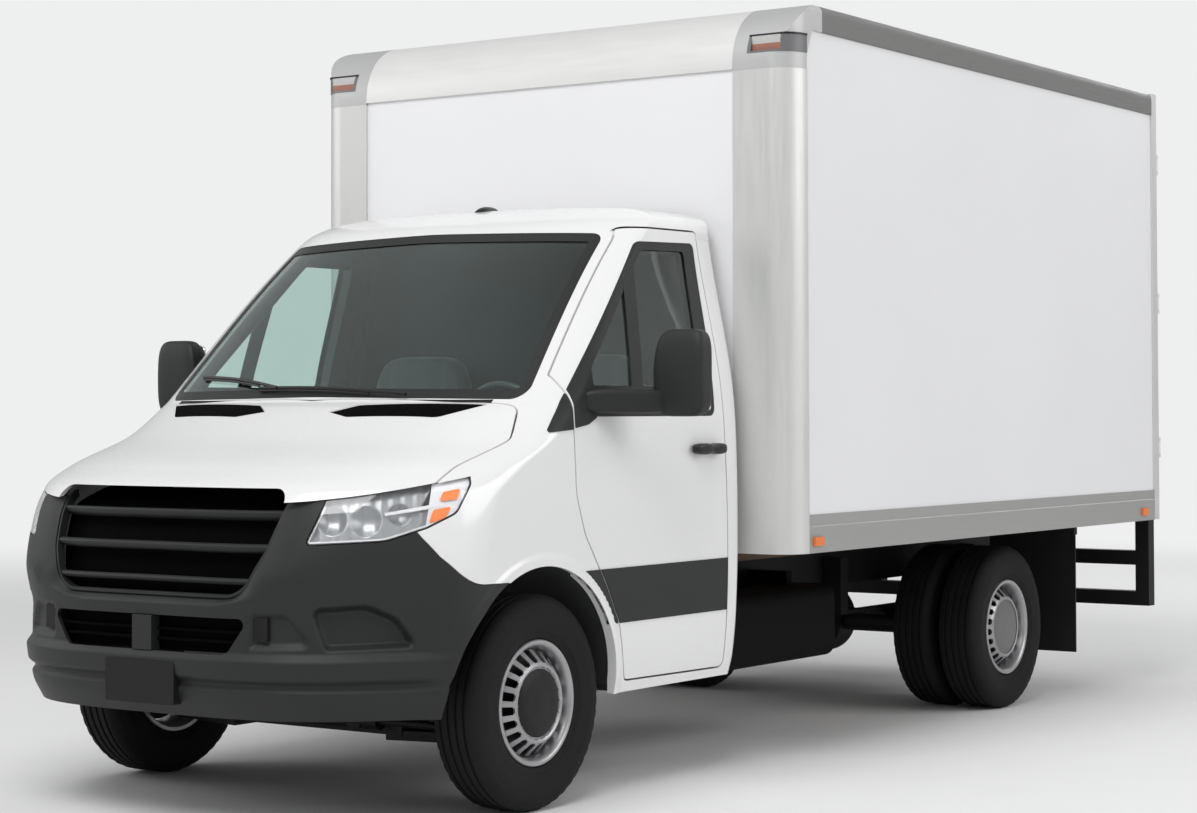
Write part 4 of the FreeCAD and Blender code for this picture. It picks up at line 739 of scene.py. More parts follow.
# ---- cab body --------
def cab_tools():
    """What is cut from the cab's body: doors, arches, nose, hood, cowl, windscreen and the open floor."""
    tools = []
    for side in SIDES:
        door = cut(door_tool(.007, side), screen_tool(PILLAR - .007))
        tools += [door, arch_tool(ARCH_R, side), arch_tool(ARCH_LIP, side, outer=.955)]
    return tools + [
        boxed(-WIDE, WIDE, AHEAD, SHELL_Y - .0001, .2, FENDER_TOP + .0001),
        kept(hood_tool(.007), boxed(-WIDE, WIDE, AHEAD, .1, 1.0, COWL_TOP + .04)),
        boxed(-.76, .76, AHEAD, .06, 1.3, COWL_TOP),
        screen_tool(), boxed(-.72, .72, 0, 1.4, .2, FLOOR_LOW),
    ]


def copy_of(node):
    """A solid's mesh in the axle's frame, welded, to be trimmed into a new piece."""
    mesh = edited(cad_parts[node].data.copy(), weld(1e-6))
    mesh.transform(Matrix.Translation((0, -AXLE_Y, 0)))
    return mesh


def make_cab_body():
    outer, points = solid_form(0, 400, 240, flare)
    inner, _ = solid_form(WALL)
    roof, half = roof_tool()
    inner_roof, _ = roof_tool(WALL)
    shell = cut(cut(kept(outer, roof), kept(inner, inner_roof)), *cab_tools())
    ring = np.concatenate([points, points[:, :1]], 1)
    profile = np.array(half[2:] + [(-x, z) for x, z in half[2:-1][::-1]])
    xs, ys = np.meshgrid(profile[:, 0], np.linspace(-.2, 1.4, 9))
    roof_grid = np.stack([xs, ys, np.broadcast_to(profile[:, 1], xs.shape)], -1)
    smooth_from(shell, [source(ring), source(roof_grid[:, ::-1])])
    body = piece("cab_body", shell, "root", WHITE, "white_paint")
    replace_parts(body, "cab_shell")
    inside = kept(copy_of("cab_shell"), solid_form(WALL + .001, *COARSE)[0], roof_tool(WALL + .001)[0])
    piece("cab_inside", smooth(inside, 30), "root", TRIM, "cab_trim")


make_cab_body()


# ---- doors, fenders, hood --------
WINDOW_POST = ((.640, 1.99, 0), (.712, 1.99, 0), (.625, 1.47, 0), (.560, 1.47, 0))
WINDOW_CHANNEL = ((.628, 1.985, 0), (.640, 1.985, 0), (.562, 1.47, 0), (.549, 1.47, 0))
DOOR_SAIL = ((.169, 1.335, .002), (.169, 1.472, .002), (.306, 1.606, .002), (.306, 1.372, .002),
             (.25, 1.347, .05))
CORNER_SAIL = ((.008, 1.320, .006), (.157, 1.330, .002), (.157, 1.461, .002))
SILL_BAND = ((.159, .628, 0), (.42, .628, 0), (.42, .828, 0), (.159, .828, 0))
VENT_PLAN = ((.152, -.190, .004), (.268, -.226, .04), (.633, -.168, .06), (.763, -.026, .004),
             (.242, -.119, .03))


def side_name(side):
    return "left" if side > 0 else "right"


def make_door(side):
    """Outer skin, inner frame, glass, black window frame, divider, sail and band of one door."""
    name = side_name(side)
    body = f"cab_door_{name}"
    us, zs = np.linspace(.36, .93, 130), np.linspace(.39, 2.11, 160)

    def part(title, thick, keep, cuts=(), out=.0, finish=PLASTIC, slot="dark_plastic", rows=zs):
        return panel(f"{title}_{name}", us, rows, thick, body, finish, slot, keep, cuts, out, mirror=side < 0)

    skin = part("door_skin", DOOR_SKIN, [door_tool()], [screen_tool(PILLAR), across(WINDOW_SIDE)], 0, WHITE,
                "white_paint")
    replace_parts(skin, f"cab_door_{name}")
    inside = kept(copy_of(f"cab_door_{name}"), solid_form(DOOR_SKIN + .0006, *COARSE)[0])
    piece(f"door_inside_{name}", smooth(inside, 30), body, TRIM, "cab_trim")
    glass = part("door_window", .004, [across(WINDOW_SIDE, -.001)], (), -.007, DOOR_GLASS, "door_glass")
    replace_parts(glass, f"door_glass_{name}")
    part("window_frame", .0055, [across(WINDOW_SIDE, -.0015)], [across(GLASS_SIDE)], -.001)
    part("door_trim", .045, [door_tool(-.035), boxed(.5, WIDE, .2, 1.3, 1.40, 2.2)],
         [across(GLASS_SIDE, -.004), screen_tool(PILLAR + .03)], -.036, TRIM, "cab_trim")
    part("window_post", .005, [across(WINDOW_POST), across(WINDOW_SIDE, -.002)], (), -.0022)
    part("window_channel", .006, [across(WINDOW_CHANNEL), across(WINDOW_SIDE, -.002)], (), -.0005, BLACK)
    part("door_sail", .006, [across(DOOR_SAIL)], [screen_tool(PILLAR + .004), across(GLASS_SIDE)], .003)
    part("door_band", .010, [door_tool(-.001), boxed(.5, WIDE, -.2, 1.3, .628, .828)], (), .004,
         rows=np.linspace(.62, .84, 40))


def make_fender(side):
    """Fender, black corner below the screen pillar and dark band on the sill, one side."""
    name = side_name(side)
    us, zs = np.linspace(.22, .68, 150), np.linspace(.372, 1.33, 140)

    def part(title, rows, thick, keep, cuts, out=.004, finish=PLASTIC, slot="dark_plastic", relief=None):
        return panel(f"{title}_{name}", us, rows, thick, "root", finish, slot, keep, cuts, out, relief,
                     side < 0)

    lamp = cut(lamp_tool(.002), above_edge(.001))
    fender = part("fender", zs, .016, [boxed(.45, WIDE, -.99, SHELL_Y - .0002, .37, FENDER_TOP)],
                  [bumper_tool(.001), lamp, hood_tool(.006), arch_tool()], 0, WHITE, "white_paint", flare)
    if side > 0:
        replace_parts(fender, "front_fenders")
    part("corner_sail", np.linspace(1.30, 1.50, 40), .006, [across(CORNER_SAIL)], (), .003)
    part("sill_band", zs, .012, [across(SILL_BAND, inner=.6)], [door_tool(.007), arch_tool()])


def vent_tool(side, by=.0):
    """One hood vent in plan: a long wedge that is widest near its inner end."""
    return prism(grow([(side * x, y, r) for x, y, r in VENT_PLAN], by, 24), PLAN, 1.2, 1.46)


def make_hood():
    us, zs = np.linspace(-.47, .47, 300), np.linspace(1.04, 1.46, 110)
    hood = panel("hood_panel", us, zs, .016, "hood", WHITE, "white_paint", [hood_tool(), above_edge(.003)],
                 [grille_tool(.004), boxed(-WIDE, WIDE, AHEAD, .3, COWL_TOP + .008, 1.6),
                  vent_tool(1), vent_tool(-1)])
    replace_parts(hood, "hood")
    # the vents' recesses take the glossless shade black: painted shade
    for side in SIDES:
        panel(f"hood_vent_{side_name(side)}", us, zs, .008, "hood", SHADE_BLACK, "dark_plastic",
              [vent_tool(side, -.0005)], out=-.004)


def make_cowl_and_screen():
    us, zs = np.linspace(-.45, .45, 260), np.linspace(1.28, 2.11, 150)
    cowl = panel("cowl_panel", us, zs[:60], .014, "root", PLASTIC, "dark_plastic", out=-.003,
                 keep=[boxed(-.759, .759, AHEAD, .059, 1.301, COWL_TOP - .001)],
                 cuts=[hood_tool(.008), screen_tool(.001)])
    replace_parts(cowl, "cowl")
    glass = panel("screen_pane", us[::2], zs[::2], .005, "root", SCREEN, "screen_glass", out=-.004,
                  keep=[screen_tool(-.001)])
    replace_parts(glass, "windscreen")
    panel("screen_border", us, zs, .002, "root", BORDER, "dark_plastic", [screen_tool(-.0015)],
          [screen_tool(-.034)], -.0015)


def make_seals():
    """Dark flanges behind the hood's and the doors' seams."""
    us = np.linspace(-.58, .58, 300)
    panel("hood_flange", us, np.linspace(1.08, 1.45, 100), .003, "root", BLACK, "dark_plastic",
          [hood_tool(.030)], [hood_tool(-.012), bumper_tool(.002)], -.021)
    us, zs = np.linspace(.36, .93, 110), np.linspace(.39, 2.11, 130)
    for side in SIDES:
        panel(f"door_seal_{side_name(side)}", us, zs, .003, "root", BLACK, "dark_plastic", [door_tool(.010)],
              [door_tool(-.004), screen_tool(PILLAR - .012)], -.0245, mirror=side < 0)


# ---- bumper, grille, lamps --------
def step_up(v, low, high):
    t = np.clip((v - low) / (high - low), 0, 1)
    return t * t * (3 - 2 * t)


def depth_in(a, b, loop):
    """Distance inside a closed loop, negative outside it."""
    ends = np.roll(loop, -1, 0)
    nearest, crossings = np.full(a.shape, 1e9), np.zeros(a.shape, int)
    for (a0, b0), (a1, b1) in zip(loop, ends):
        da, db = a1 - a0, b1 - b0
        t = np.clip(((a - a0) * da + (b - b0) * db) / max(da * da + db * db, 1e-12), 0, 1)
        nearest = np.minimum(nearest, np.hypot(a - a0 - t * da, b - b0 - t * db))
        if db:
            crossings += ((b0 > b) != (b1 > b)) & (a < a0 + (b - b0) * da / db)
    return np.where(crossings % 2 == 1, nearest, -nearest)


FOG_RECESS = ((-.155, .752, .03), (.045, .762, .10), (.150, .715, .09), (.222, .612, .02), (-.105, .606, .03))
INTAKE_RAMP = ((.455, .735, .03), (.60, .735, .05), (.70, .612, .03), (.455, .606, .02))


def bumper_relief(points):
    """Ridges, a lower lip, the bevel round the grille and the fog lamp recesses of the bumper."""
    x, y, z = np.abs(points[..., 0]), points[..., 1], points[..., 2]
    along = (x + y) * sqrt(.5)
    lift = -.022 * step_up(z, .566, .604) * (1 - step_up(z, .70, .86))
    lift = lift - .020 * (1 - step_up(z, .488, .520)) + .014 * (1 - step_up(z, .466, .484))
    side = step_up(y, -.66, -.42)
    lift = lift * (1 - side) - .003 * side
    fog = step_up(depth_in(along, z, outline(FOG_RECESS, 12)), -.002, .022)
    ramp = step_up(depth_in(x, z, outline(INTAKE_RAMP, 12)), -.004, .030)
    rim = -depth_in(x, z, outline(both_halves(GRILLE_FRONT), 12))
    crease = depth_in(x, z, outline(both_halves(GRILLE_CREASE), 12))
    bevel = np.where(rim > 0, np.clip(crease / np.maximum(crease + rim, 1e-6), 0, 1), 1)
    bevel = GRILLE_DEPTH * bevel ** 1.3
    fog = fog * (crease < 0)
    return lift - .034 * fog * (y < -.45) - .018 * ramp * (1 - fog) - bevel + flare(points) * .6


def make_bumper():
    us, zs = np.linspace(-.60, .60, 400), np.linspace(.372, 1.14, 150)
    tools = [above_edge(-.002), grille_tool(), intake_tool()]
    for side in SIDES:
        tools += [lamp_tool(.002, side=side), arch_tool(side=side)]
    bumper = panel("bumper_skin", us, zs, .014, "root", PLASTIC, "dark_plastic", relief=bumper_relief,
                   keep=[bumper_tool()], cuts=tools)
    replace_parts(bumper, "front_bumper")
    corners = [(x, z, .010) for x, z in ((-.16, .414), (.16, .414), (.16, .562), (-.16, .562))]
    piece("plate_pad", prism(outline(corners), FRONT, -.984, -.93), "root", CAP_DARK, "dark_plastic")


def make_grille():
    us, zs = np.linspace(-.36, .36, 240), np.linspace(.74, 1.15, 90)
    ring = panel("grille_ring", us, zs, .030, "root", PLASTIC, "grille_black", out=-GRILLE_DEPTH - .002,
                 keep=[grille_tool(-.001)], cuts=[grille_tool(-.012)])
    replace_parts(ring, "grille")
    # a sheet of the glossless shade black behind the grille stands in for the dark inside: painted shade
    panel("grille_back", us[::2], np.linspace(.72, 1.30, 45), .004, "root", SHADE_BLACK, "grille_black", out=-.095,
          keep=[grille_tool(.03)])
    for i, z in enumerate((.824, .948, 1.068)):
        rows = np.linspace(z, z + .024, 9)
        panel(f"grille_slat_{i + 1}", us, rows, .030, "root", PLASTIC, "grille_black",
              out=-GRILLE_DEPTH - .014, keep=[grille_tool(-.003)],
              relief=lambda p, z=z: .010 * np.sin(np.pi * np.clip((p[..., 2] - z) / .024, 0, 1)))
    zs = np.linspace(.58, .71, 30)
    # the sheet behind the intake stands in for its shade, and the real bars take the same glossless black:
    # painted shade
    panel("intake_back", us, zs, .004, "root", SHADE_BLACK, "grille_black", out=-.062, keep=[intake_tool(-.001)])
    for i, z in enumerate((.628, .662)):
        panel(f"intake_bar_{i + 1}", us, np.linspace(z, z + .008, 4), .030, "root", SHADE_BLACK, "grille_black",
              out=-.040, keep=[intake_tool(-.002)])
    panel("intake_post", us, zs, .040, "root", PLASTIC, "grille_black", out=-.012,
          keep=[intake_tool(-.001), boxed(-.045, .045, AHEAD, -.5, .5, .8)])


REFLECTORS = ((-.075, 1.045, .052), (.040, 1.040, .055), (.155, 1.060, .040))
AMBERS = (((.286, 1.096), (.301, 1.126), (.364, 1.138), (.346, 1.101)),
          ((.246, 1.022), (.265, 1.068), (.330, 1.079), (.303, 1.038)))


def reflector_relief(points):
    """Round bowls side by side, with fine upright flutes between them."""
    along = (points[..., 0] + points[..., 1]) * sqrt(.5)
    lift = .0015 * np.sin(along * 150)
    for centre, height, radius in REFLECTORS:
        d = np.hypot(along - centre, points[..., 2] - height) / radius
        lift = lift - .5 * radius * np.clip(1 - d * d, 0, 1)
    return lift


def make_lamp(side):
    """Clear cover, reflector bowls, divider bar and amber segments of one headlamp."""
    name = side_name(side)
    us, zs = np.linspace(.20, .50, 200), np.linspace(.94, 1.22, 110)
    apart = cut(lamp_tool(-.001), grille_tool(.014), above_edge(-.002))

    def part(title, finish, slot, thick, out, tool, relief=None):
        return panel(f"{title}_{name}", us, zs, thick, "root", finish, slot, [tool, apart], (), out, relief,
                     side < 0)

    def shape(points, radius=.004):
        return lamp_tool(0, tuple((a, b, radius) for a, b in points))

    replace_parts(part("lamp_cover", CLEAR, "lamp_clear", .003, -.002, lamp_tool(-.0015)), "headlamps")
    part("lamp_bowl", REFLECTOR, "lamp_clear", .004, -.030, lamp_tool(-.002), reflector_relief)
    part("lamp_rim", BLACK, "grille_black", .030, -.006, cut(lamp_tool(-.0015), lamp_tool(-.0045)))
    lip = cut(lamp_tool(-.0045), lamp_tool(-.0095), above_edge(-.02))
    part("lamp_lip", LAMP_WHITE, "lamp_clear", .020, -.009, lip)
    bar = shape(((.10, 1.050), (.30, 1.078), (.30, 1.091), (.10, 1.059)), 0)
    part("lamp_bar", LAMP_WHITE, "lamp_clear", .010, -.012, bar)
    end = shape(((.228, .97), (.275, 1.20), (.42, 1.22), (.42, .97)), 0)
    part("lamp_end", LAMP_WHITE, "lamp_clear", .010, -.013, end)
    for i, points in enumerate(AMBERS):
        part(f"lamp_amber_{i + 1}", AMBER, "marker_lens", .012, -.008, shape(points, .006))


for side in SIDES:
    make_door(side)
    make_fender(side)
    make_lamp(side)
make_hood()
make_cowl_and_screen()
make_seals()
make_bumper()
make_grille()


# ---- corner caps and marker lamps --------
CAP_FLANGE = ((1.4995, 2.9), (1.4575, 2.80), (1.4555, 2.70), (1.70, 2.70), (1.70, 2.9))
CAP_LAMP_X, CAP_LAMP_Z = 1.006, 2.804


def cap_slice(x0, x1, z0, z1, proud, side):
    """A slice of a corner cap, moved out to stand proud of it."""
    mesh = copy_of("box_corner_caps")
    mesh.transform(Matrix.Translation((side * proud, -proud, 0)))
    return kept(mesh, boxed(*sorted((side * x0, side * x1)), 1.2, 1.4565, z0, z1))


def make_caps():
    """Corner caps whose side flange narrows downward, each with a lamp let into its rounded corner."""
    caps = smooth(cut(copy_of("box_corner_caps"), prism(CAP_FLANGE, SIDE, -WIDE, WIDE)), 30)
    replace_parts(piece("corner_caps", caps, "root", CASTING, "cap_casting"), "box_corner_caps")
    low = cut(copy_of("marker_lamps"), boxed(-WIDE, WIDE, 1.2, 1.6, 2.0, 3.0))
    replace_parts(piece("rail_markers", smooth(low, 30), "root", AMBER, "marker_lens"), "marker_lamps")
    x, z = CAP_LAMP_X, CAP_LAMP_Z
    for side in SIDES:
        name = side_name(side)
        for title, finish, slot, rise, proud in (
                ("cap_lamp_hood", BLACK, "dark_plastic", (z + .069, z + .076), .004),
                ("cap_lamp_case", CASE_GREY, "cap_casting", (z, z + .069), .0015)):
            piece(f"{title}_{name}", smooth(cap_slice(x, 1.26, *rise, proud, side), 30), "root", finish, slot)
        for title, finish, slot, rise in (("cap_lamp_clear", CLEAR_LENS, "lamp_clear", (z + .036, z + .08)),
                                          ("cap_lamp_amber", DULL_AMBER, "marker_lens", (z, z + .036))):
            lens = kept(copy_of("marker_lamps"), boxed(*sorted((side * .9, side * 1.3)), 1.2, 1.5, *rise))
            piece(f"{title}_{name}", smooth(lens, 30), "root", finish, slot)


make_caps()


# ---- wheels --------
TREAD = .378             # radius over the tread
SEGMENTS = 144            # round the tyre, a multiple of both its block pitches
ROUND = 96                # round the steel parts
BOLTS = 20
BARREL = (
    (.0766, .2032), (.0766, .2175), (.0790, .2205), (.0845, .2205), (.0880, .2175), (.0885, .2120),
    (.0850, .2040), (.0780, .1985), (.0640, .1925), (.0480, .1900), (.0200, .1870), (-.0400, .1870),
    (-.0700, .1950), (-.0880, .2050), (-.0885, .2175), (-.0850, .2205), (-.0790, .2205), (-.0766, .2175),
    (-.0766, .2032), (-.0400, .1950), (.0500, .1980))


def tyre_profile():
    """Half section points (x, r) of a tyre, from the outer bead over the tread to the inner bead."""
    half = TYRE_W / 2
    flank = [(.0765, .2035), (.0775, .2215), (.0835, .2255), (.0875, .236), (.0915, .243), (.0915, .247),
             (.0945, .2505), (.0985, .272), (half - .0012, .297), (half, .306), (half - .0006, .318),
             (.0998, .332), (.0975, .3395), (.0975, .343), (.0945, .3505), (.0885, .3615), (.0815, .3695),
             (.0735, .3735)]
    tread = []
    for x in (.050, .0165):
        tread += [(x + .0060, TREAD - .0006), (x + .0042, TREAD - .0085)]
        tread += [(x - .0042, TREAD - .0085), (x - .0060, TREAD - .0004)]
    right = flank + [(.068, TREAD - .0012)] + tread
    return right + [(-x, r) for x, r in right[::-1]]


def make_tyre(name, body, centre_x, y):
    def blocks(k, x, r):
        """Shallow cuts across the tread and its shoulders."""
        if r > .345 and abs(x) > .06 and k % 3 == 0:
            return x * .993, r - .0022
        if r > TREAD - .003 and abs(x) < .06 and k % 2 == 0:
            return x, r - .0012
        return x, r

    mesh = lathe(tyre_profile(), SEGMENTS, (centre_x, y, TREAD), blocks)
    return piece(name, smooth(mesh, 28), body, RUBBER, "tyre_rubber", move=False)


def ring_of_slots(rows, segments, every, solid, thick, centre):
    """A domed ring through (x, r) rows; between its second row and the last, slots run out to the barrel."""
    verts = [on_wheel(centre, x, r, 2 * pi * k / segments) for x, r in rows for k in range(segments)]
    faces = []
    for n, face in enumerate(ring_faces(len(rows) - 1, segments)):
        i, into = n // segments, n % segments % every - solid
        if (i == 1 and 1 <= into < every - solid - 1) or (i > 1 and into >= 0):
            continue
        faces.append(face)

    def thicken(bm):
        if sum(f.normal.x for f in bm.faces) * (1 if centre[0] > 0 else -1) < 0:
            bmesh.ops.reverse_faces(bm, faces=bm.faces)
        bmesh.ops.solidify(bm, geom=list(bm.faces), thickness=thick)

    return edited(new_mesh("slots", verts, faces), face_out, thicken, face_out)


def make_rim(name, body, x, y, side, face, cap_r, cap_out, cap_finish):
    """A steel wheel: barrel with flanges, slotted ring, hub cap and bolts. side is the way it faces."""
    centre = (x, y, TREAD)

    def facing(points):
        return [(side * p, r) for p, r in points]

    rows = facing(((face, .136), (face - .003, .1415), (face - .0065, .146), (face - .018, .157),
                   (face - .034, .171), (face - .046, .185)))
    bowl = facing(((face, .138), (face + .0015, .133), (face - .001, .127), (face - .006, cap_r + .004),
                   (face - .006, .05), (face - .016, .05), (face - .012, .138)))
    parts = [smooth(lathe(facing(BARREL), ROUND, centre), 30),
             smooth(ring_of_slots(rows, segments=200, every=10, solid=4, thick=.005, centre=centre), 30),
             smooth(lathe(bowl, ROUND, centre), 30)]
    bolt = facing(((face - .008, 0), (face - .001, 0), (face - .001, .006), (face - .003, .0075),
                   (face - .008, .0075)))
    for k in range(BOLTS if cap_r < .13 else 0):
        parts.append(lathe(bolt, 10, on_wheel(centre, 0, cap_r + .010, 2 * pi * k / BOLTS)))
    rim = piece(name, joined(*parts), body, SILVER, "wheel_silver", move=False)
    shade(rim.data)
    base, top = face - .010, face - .010 + cap_out
    cap = facing(((base, .0), (top, .0), (top - .0005, cap_r * .30), (top - .003, cap_r * .42),
                  (top - .003, cap_r * .60), (top - .006, cap_r * .80), (top - .011, cap_r * .93),
                  (base + .006, cap_r), (base, cap_r)))
    cap = smooth(lathe(cap, ROUND, centre), 28)
    piece(name.replace("rim", "hub_cap"), cap, body, cap_finish, "wheel_silver", move=False)
    return rim


def make_wheels():
    low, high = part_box("tyres_rear_left")
    inner_x, outer_x, rear_y = low.x + TYRE_W / 2, high.x - TYRE_W / 2, REAR_WHEEL.y

    def brake(name, body, x, y, side, profile):
        mesh = lathe([(side * p, r) for p, r in profile], 64, (x, y, TREAD))
        piece(name, smooth(mesh), body, FRAME, "frame_paint", move=False)

    for side in SIDES:
        name = side_name(side)
        body, x = f"front_wheel_{name}", side * abs(FRONT_WHEEL.x)
        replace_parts(make_tyre(f"tyre_{name}_front", body, x, AXLE_Y), f"tyre_front_{name}")
        rim = make_rim(f"rim_{name}_front", body, x, AXLE_Y, side, .0965, .1195, .022, CAP_DARK)
        brake(f"brake_disc_{name}", body, x, AXLE_Y, side,
              ((.02, .03), (.045, .03), (.045, .150), (.02, .180)))
        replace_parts(rim, f"rim_front_{name}")
        body, x = f"rear_wheels_{name}", side * outer_x
        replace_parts(make_tyre(f"tyre_{name}_rear_outer", body, x, rear_y), f"tyres_rear_{name}")
        make_tyre(f"tyre_{name}_rear_inner", body, side * inner_x, rear_y)
        rim = make_rim(f"rim_{name}_rear_outer", body, x, rear_y, side, .078, .1300, .018, CAP_GREY)
        make_rim(f"rim_{name}_rear_inner", body, side * inner_x, rear_y, -side, .070, .118, .010, FRAME)
        brake(f"brake_drum_{name}", body, x, rear_y, side,
              ((-.30, .03), (.062, .03), (.062, .13), (-.02, .15), (-.12, .15), (-.30, .10)))
        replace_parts(rim, f"rims_rear_{name}")


make_wheels()


# ---- mirrors, handles, wipers, aerial --------
def make_mirror(side):
    """Housing that narrows upward, two glasses and an arm to the door's sail."""
    name = side_name(side)
    body = f"cab_door_{name}"
    low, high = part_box(f"mirror_{name}")

    def narrow(p):
        kept_width = 1 - .10 * np.clip(p[:, 2], 0, 1) ** 1.5
        p[:, 0] = side * (1 - (1 - side * p[:, 0]) * kept_width)
        p[:, 1] = np.where(p[:, 1] > 0, p[:, 1] * .92, p[:, 1] * (1 - .25 * p[:, 2] ** 2))

    def part(title, mesh, finish, slot):
        return piece(f"{title}_{name}", mesh, body, finish, slot, move=False)

    x0, x1 = sorted((side * 1.13, high.x if side > 0 else low.x))
    back = high.y
    housing = pillow((x0, back - .100, 1.375), (x1, back, 1.690), 5, 48, 80, narrow)
    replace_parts(part("mirror_housing", housing, PLASTIC, "dark_plastic"), f"mirror_{name}")
    for title, z0, z1 in (("mirror_glass", 1.475, 1.672), ("mirror_low_glass", 1.395, 1.465)):
        glass = pillow((x0 + .016, back - .0105, z0), (x1 - .018, back - .0005, z1), 9, 20, 48)
        part(title, glass, MIRROR_GLASS, "screen_glass")
    arm = pillow((-.160, -.034, 1.388), (.160, .034, 1.474), 5, 24, 60)
    turn = Matrix.Rotation(atan2(.230, .205), 4, "Z")
    arm.transform(Matrix.Translation((1.070, AXLE_Y + .375, 0)) @ turn)
    part("mirror_arm", arm if side > 0 else mirrored(arm), PLASTIC, "dark_plastic")


def make_handle(side):
    """A pull handle with a slight waist."""
    x0, x1 = sorted((side * .998, side * 1.048))

    def waist(p):
        near = np.exp(-((p[:, 1] - .05) / .22) ** 2)
        p[:, 2] *= 1 - .38 * near
        p[:, 0] *= 1 - .25 * near

    grip = pillow((x0, .917, 1.228), (x1, 1.126, 1.272), 4, 24, 64, waist)
    piece(f"door_handle_{side_name(side)}", grip, f"cab_door_{side_name(side)}", BLACK, "dark_plastic")


AERIAL_Z = 2.176


def make_wipers():
    """Two arms that follow the foot of the windscreen, each with a blade below its outer part."""
    us = np.linspace(0, .45, 60)
    xs = np.abs(form_points(us, 1.45)[:, 0])
    for i, (x0, x1) in enumerate(((.42, -.30), (-.20, -.70))):
        points = []
        for t in np.linspace(0, 1, 14):
            x = x0 + (x1 - x0) * t
            z = 1.432 + .028 * i + (.030 + .022 * i) * t + .010 * sin(pi * t)
            u = np.sign(x) * np.interp(abs(x), xs, us)
            p, n = form_points(u, z + .012), form_normals(u, z + .012)
            points.append(p + n * (.018 - (.004 + .006 * i) * t))
        blade = tube([p - (0, 0, .010) for p in points[3:]], .0045, 8)
        piece(f"wiper_{i + 1}", joined(tube(points, .0065, 10), blade), "root", BLACK, "dark_plastic")


def make_aerial():
    """A small fin that leans back and narrows upward."""
    def fin(p):
        p[:, 0] *= 1 - .5 * np.clip(p[:, 2], 0, 1)
        p[:, 1] += .25 * np.clip(p[:, 2], 0, 1)

    mesh = pillow((-.045, .90, AERIAL_Z - .02), (.045, 1.02, AERIAL_Z + .045), 2.6, 20, 32, fin)
    piece("aerial", mesh, "root", BLACK, "dark_plastic")


for side in SIDES:
    make_mirror(side)
    make_handle(side)
make_wipers()
make_aerial()


# ---- seats --------
def make_seats():
    low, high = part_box("cab_seats")
    y0, y1 = low.y, high.y

    def seam(p):
        channel = np.exp(-((np.abs(p[:, 0]) - .62) / .05) ** 2)
        top = p[:, 2] * (1 - .10 * np.abs(p[:, 0]) ** 4)
        p[:, 2] = np.where(p[:, 2] > 0, top, p[:, 2])
        p[:, 2] -= np.where(p[:, 2] > 0, .16 * channel, 0)

    def back_seam(p):
        channel = np.exp(-((np.abs(p[:, 0]) - .60) / .05) ** 2)
        p[:, 1] += np.where(p[:, 1] < 0, .20 * channel, 0)
        p[:, 0] *= 1 - .12 * np.clip(p[:, 2], 0, 1)
        p[:, 1] += .25 * p[:, 2]

    for side in SIDES:
        name = side_name(side)
        x0, x1 = sorted((side * .19, side * .67))
        cushion = pillow((x0, y0, .90), (x1, y1 - .10, 1.06), 5, 30, 72, seam)
        cushion = piece(f"seat_cushion_{name}", cushion, "root", CLOTH, "seat_cloth", move=False)
        if side > 0:
            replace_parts(cushion, "cab_seats")
        rest = pillow((x0, y1 - .20, 1.02), (x1, y1 - .05, min(high.z, 1.62)), 5, 30, 72, back_seam)
        rest = piece(f"seat_back_{name}", rest, "root", CLOTH, "seat_cloth", move=False)
        base = pillow((x0 + .04, y0 + .04, .786), (x1 - .04, y1 - .08, .91), 8, 12, 40)
        piece(f"seat_base_{name}", base, "root", TRIM, "cab_trim", move=False)


make_seats()

# ---- stage, light, camera --------
HORIZON = (.86, .865, .87, 1)
FADE_NEAR, FADE_FAR = 5.0, 17.0
FLOOR_HALF = 60
CAMERA_AT = (6.056, -7.037, 1.402)      # y from the front axle
CAMERA_ANGLES = (34.55, 1.71, -.12)     # turn, rise and roll in degrees
LENS, SENSOR, SHIFT = 74.65, 36, -.0597


def stage_finish():
    """A pale floor that keeps the shadow near the truck and fades into the backdrop far from it."""
    m = finish_of("floor_pale", (.80, .80, .80), .9, tint=.01, grain=5, bump=.0, specular=.0)
    tree = m.node_tree
    away = add(tree, "VectorMath", {0: add(tree, "TexCoord").outputs["Object"]}, "LENGTH")
    fade = add(tree, "MapRange", {0: away.outputs["Value"], 1: FADE_NEAR, 2: FADE_FAR, 3: .0, 4: 1.0})
    fade.interpolation_type = "SMOOTHSTEP"
    camera_ray = add(tree, "LightPath").outputs["Is Camera Ray"]
    seen = add(tree, "Math", {0: fade.outputs[0], 1: camera_ray}, "MULTIPLY")
    glow = add(tree, "Emission", {"Color": HORIZON})
    end_in_mix(tree, seen.outputs[0], tree.nodes["Principled BSDF"], glow)
    return m


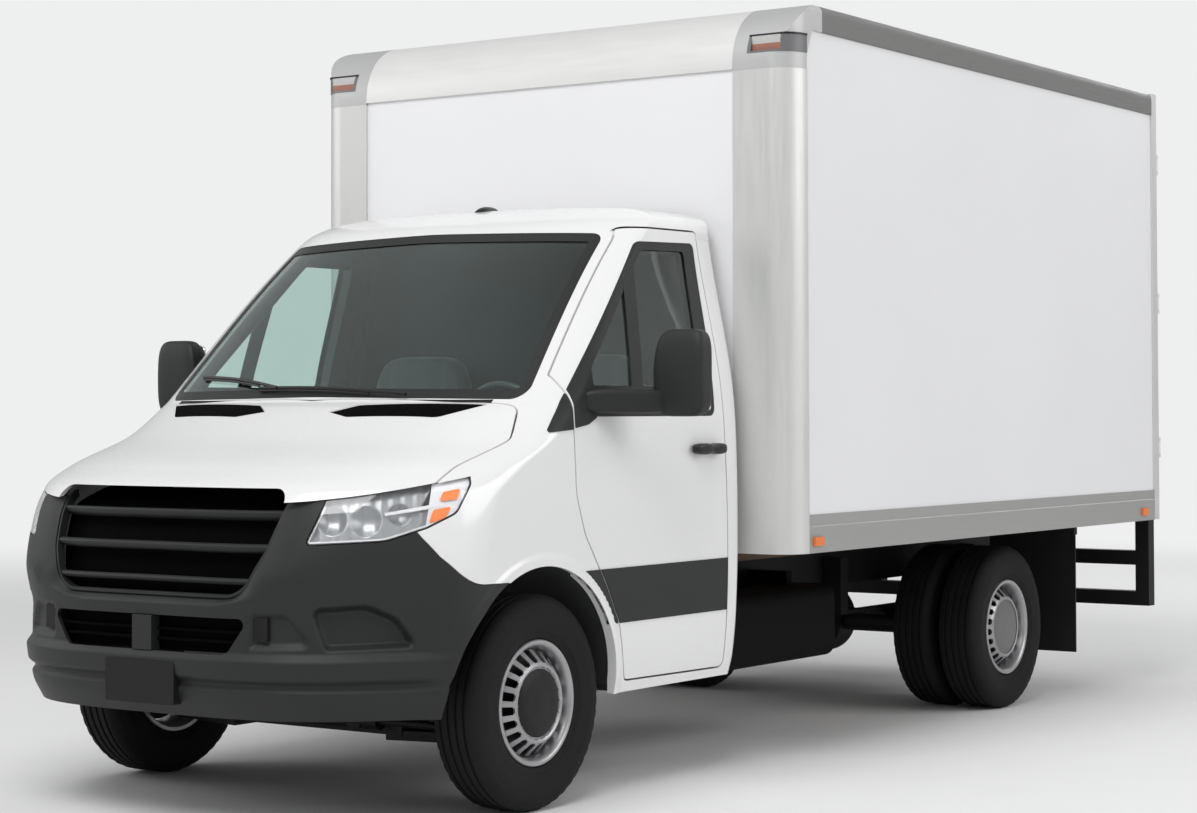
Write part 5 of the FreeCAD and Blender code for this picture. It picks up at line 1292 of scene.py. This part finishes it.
def make_stage():
    h = FLOOR_HALF
    floor = new_mesh("floor", ((-h, -h, 0), (h, -h, 0), (h, h, 0), (-h, h, 0)), ((0, 1, 2, 3),))
    o = placed("floor", floor)
    o.location.z = -.0005
    floor.materials.append(stage_finish())


def area(name, where, to, size, power):
    lamp = bpy.data.lights.new(name, "AREA")
    lamp.shape, lamp.size, lamp.size_y, lamp.energy = "RECTANGLE", size[0], size[1], power
    o = placed(name, lamp)
    o.location = where
    o.rotation_euler = (Vector(to) - Vector(where)).to_track_quat("-Z", "Y").to_euler()


def make_light():
    world = bpy.data.worlds.new("studio")
    bpy.context.scene.world = world
    world.use_nodes = True
    tree = world.node_tree
    back = tree.nodes["Background"]
    feed(tree, back, {"Color": (.93, .94, .95, 1), "Strength": .46})
    seen = add(tree, "Background", {"Color": HORIZON, "Strength": 1.0})
    path = add(tree, "LightPath").outputs
    either = add(tree, "Math", {0: path["Is Camera Ray"], 1: path["Is Transmission Ray"]}, "MAXIMUM")
    end_in_mix(tree, either.outputs[0], back, seen, "World Output")
    area("key", (2, -8, 10), (0, -1, 1.2), (8, 6), 810)
    area("side", (11, 3, 6), (1, .5, 1.5), (9, 6), 440)
    area("fill", (-9, -5, 5), (0, 0, 1.2), (6, 5), 180)
    area("back", (0, 11, 6), (0, 2, 1.5), (7, 5), 240)


def make_camera():
    camera = bpy.data.cameras.new("camera")
    o = placed("camera", camera)
    o.location = (CAMERA_AT[0], CAMERA_AT[1] + AXLE_Y, CAMERA_AT[2])
    turn, rise, roll = (radians(v) for v in CAMERA_ANGLES)
    ahead = Vector((-sin(turn) * cos(rise), cos(turn) * cos(rise), sin(rise)))
    o.rotation_mode = "QUATERNION"
    o.rotation_quaternion = ahead.to_track_quat("-Z", "Y") @ Matrix.Rotation(roll, 4, "Z").to_quaternion()
    camera.lens, camera.sensor_width, camera.shift_y = LENS, SENSOR, SHIFT
    camera.clip_end = 200
    bpy.context.scene.camera = o
    bpy.context.scene.view_settings.view_transform = "Standard"


make_stage()
make_light()
make_camera()
for name in ("Cube", "Light", "Camera"):
    if name in bpy.data.objects:
        bpy.data.objects.remove(bpy.data.objects[name])
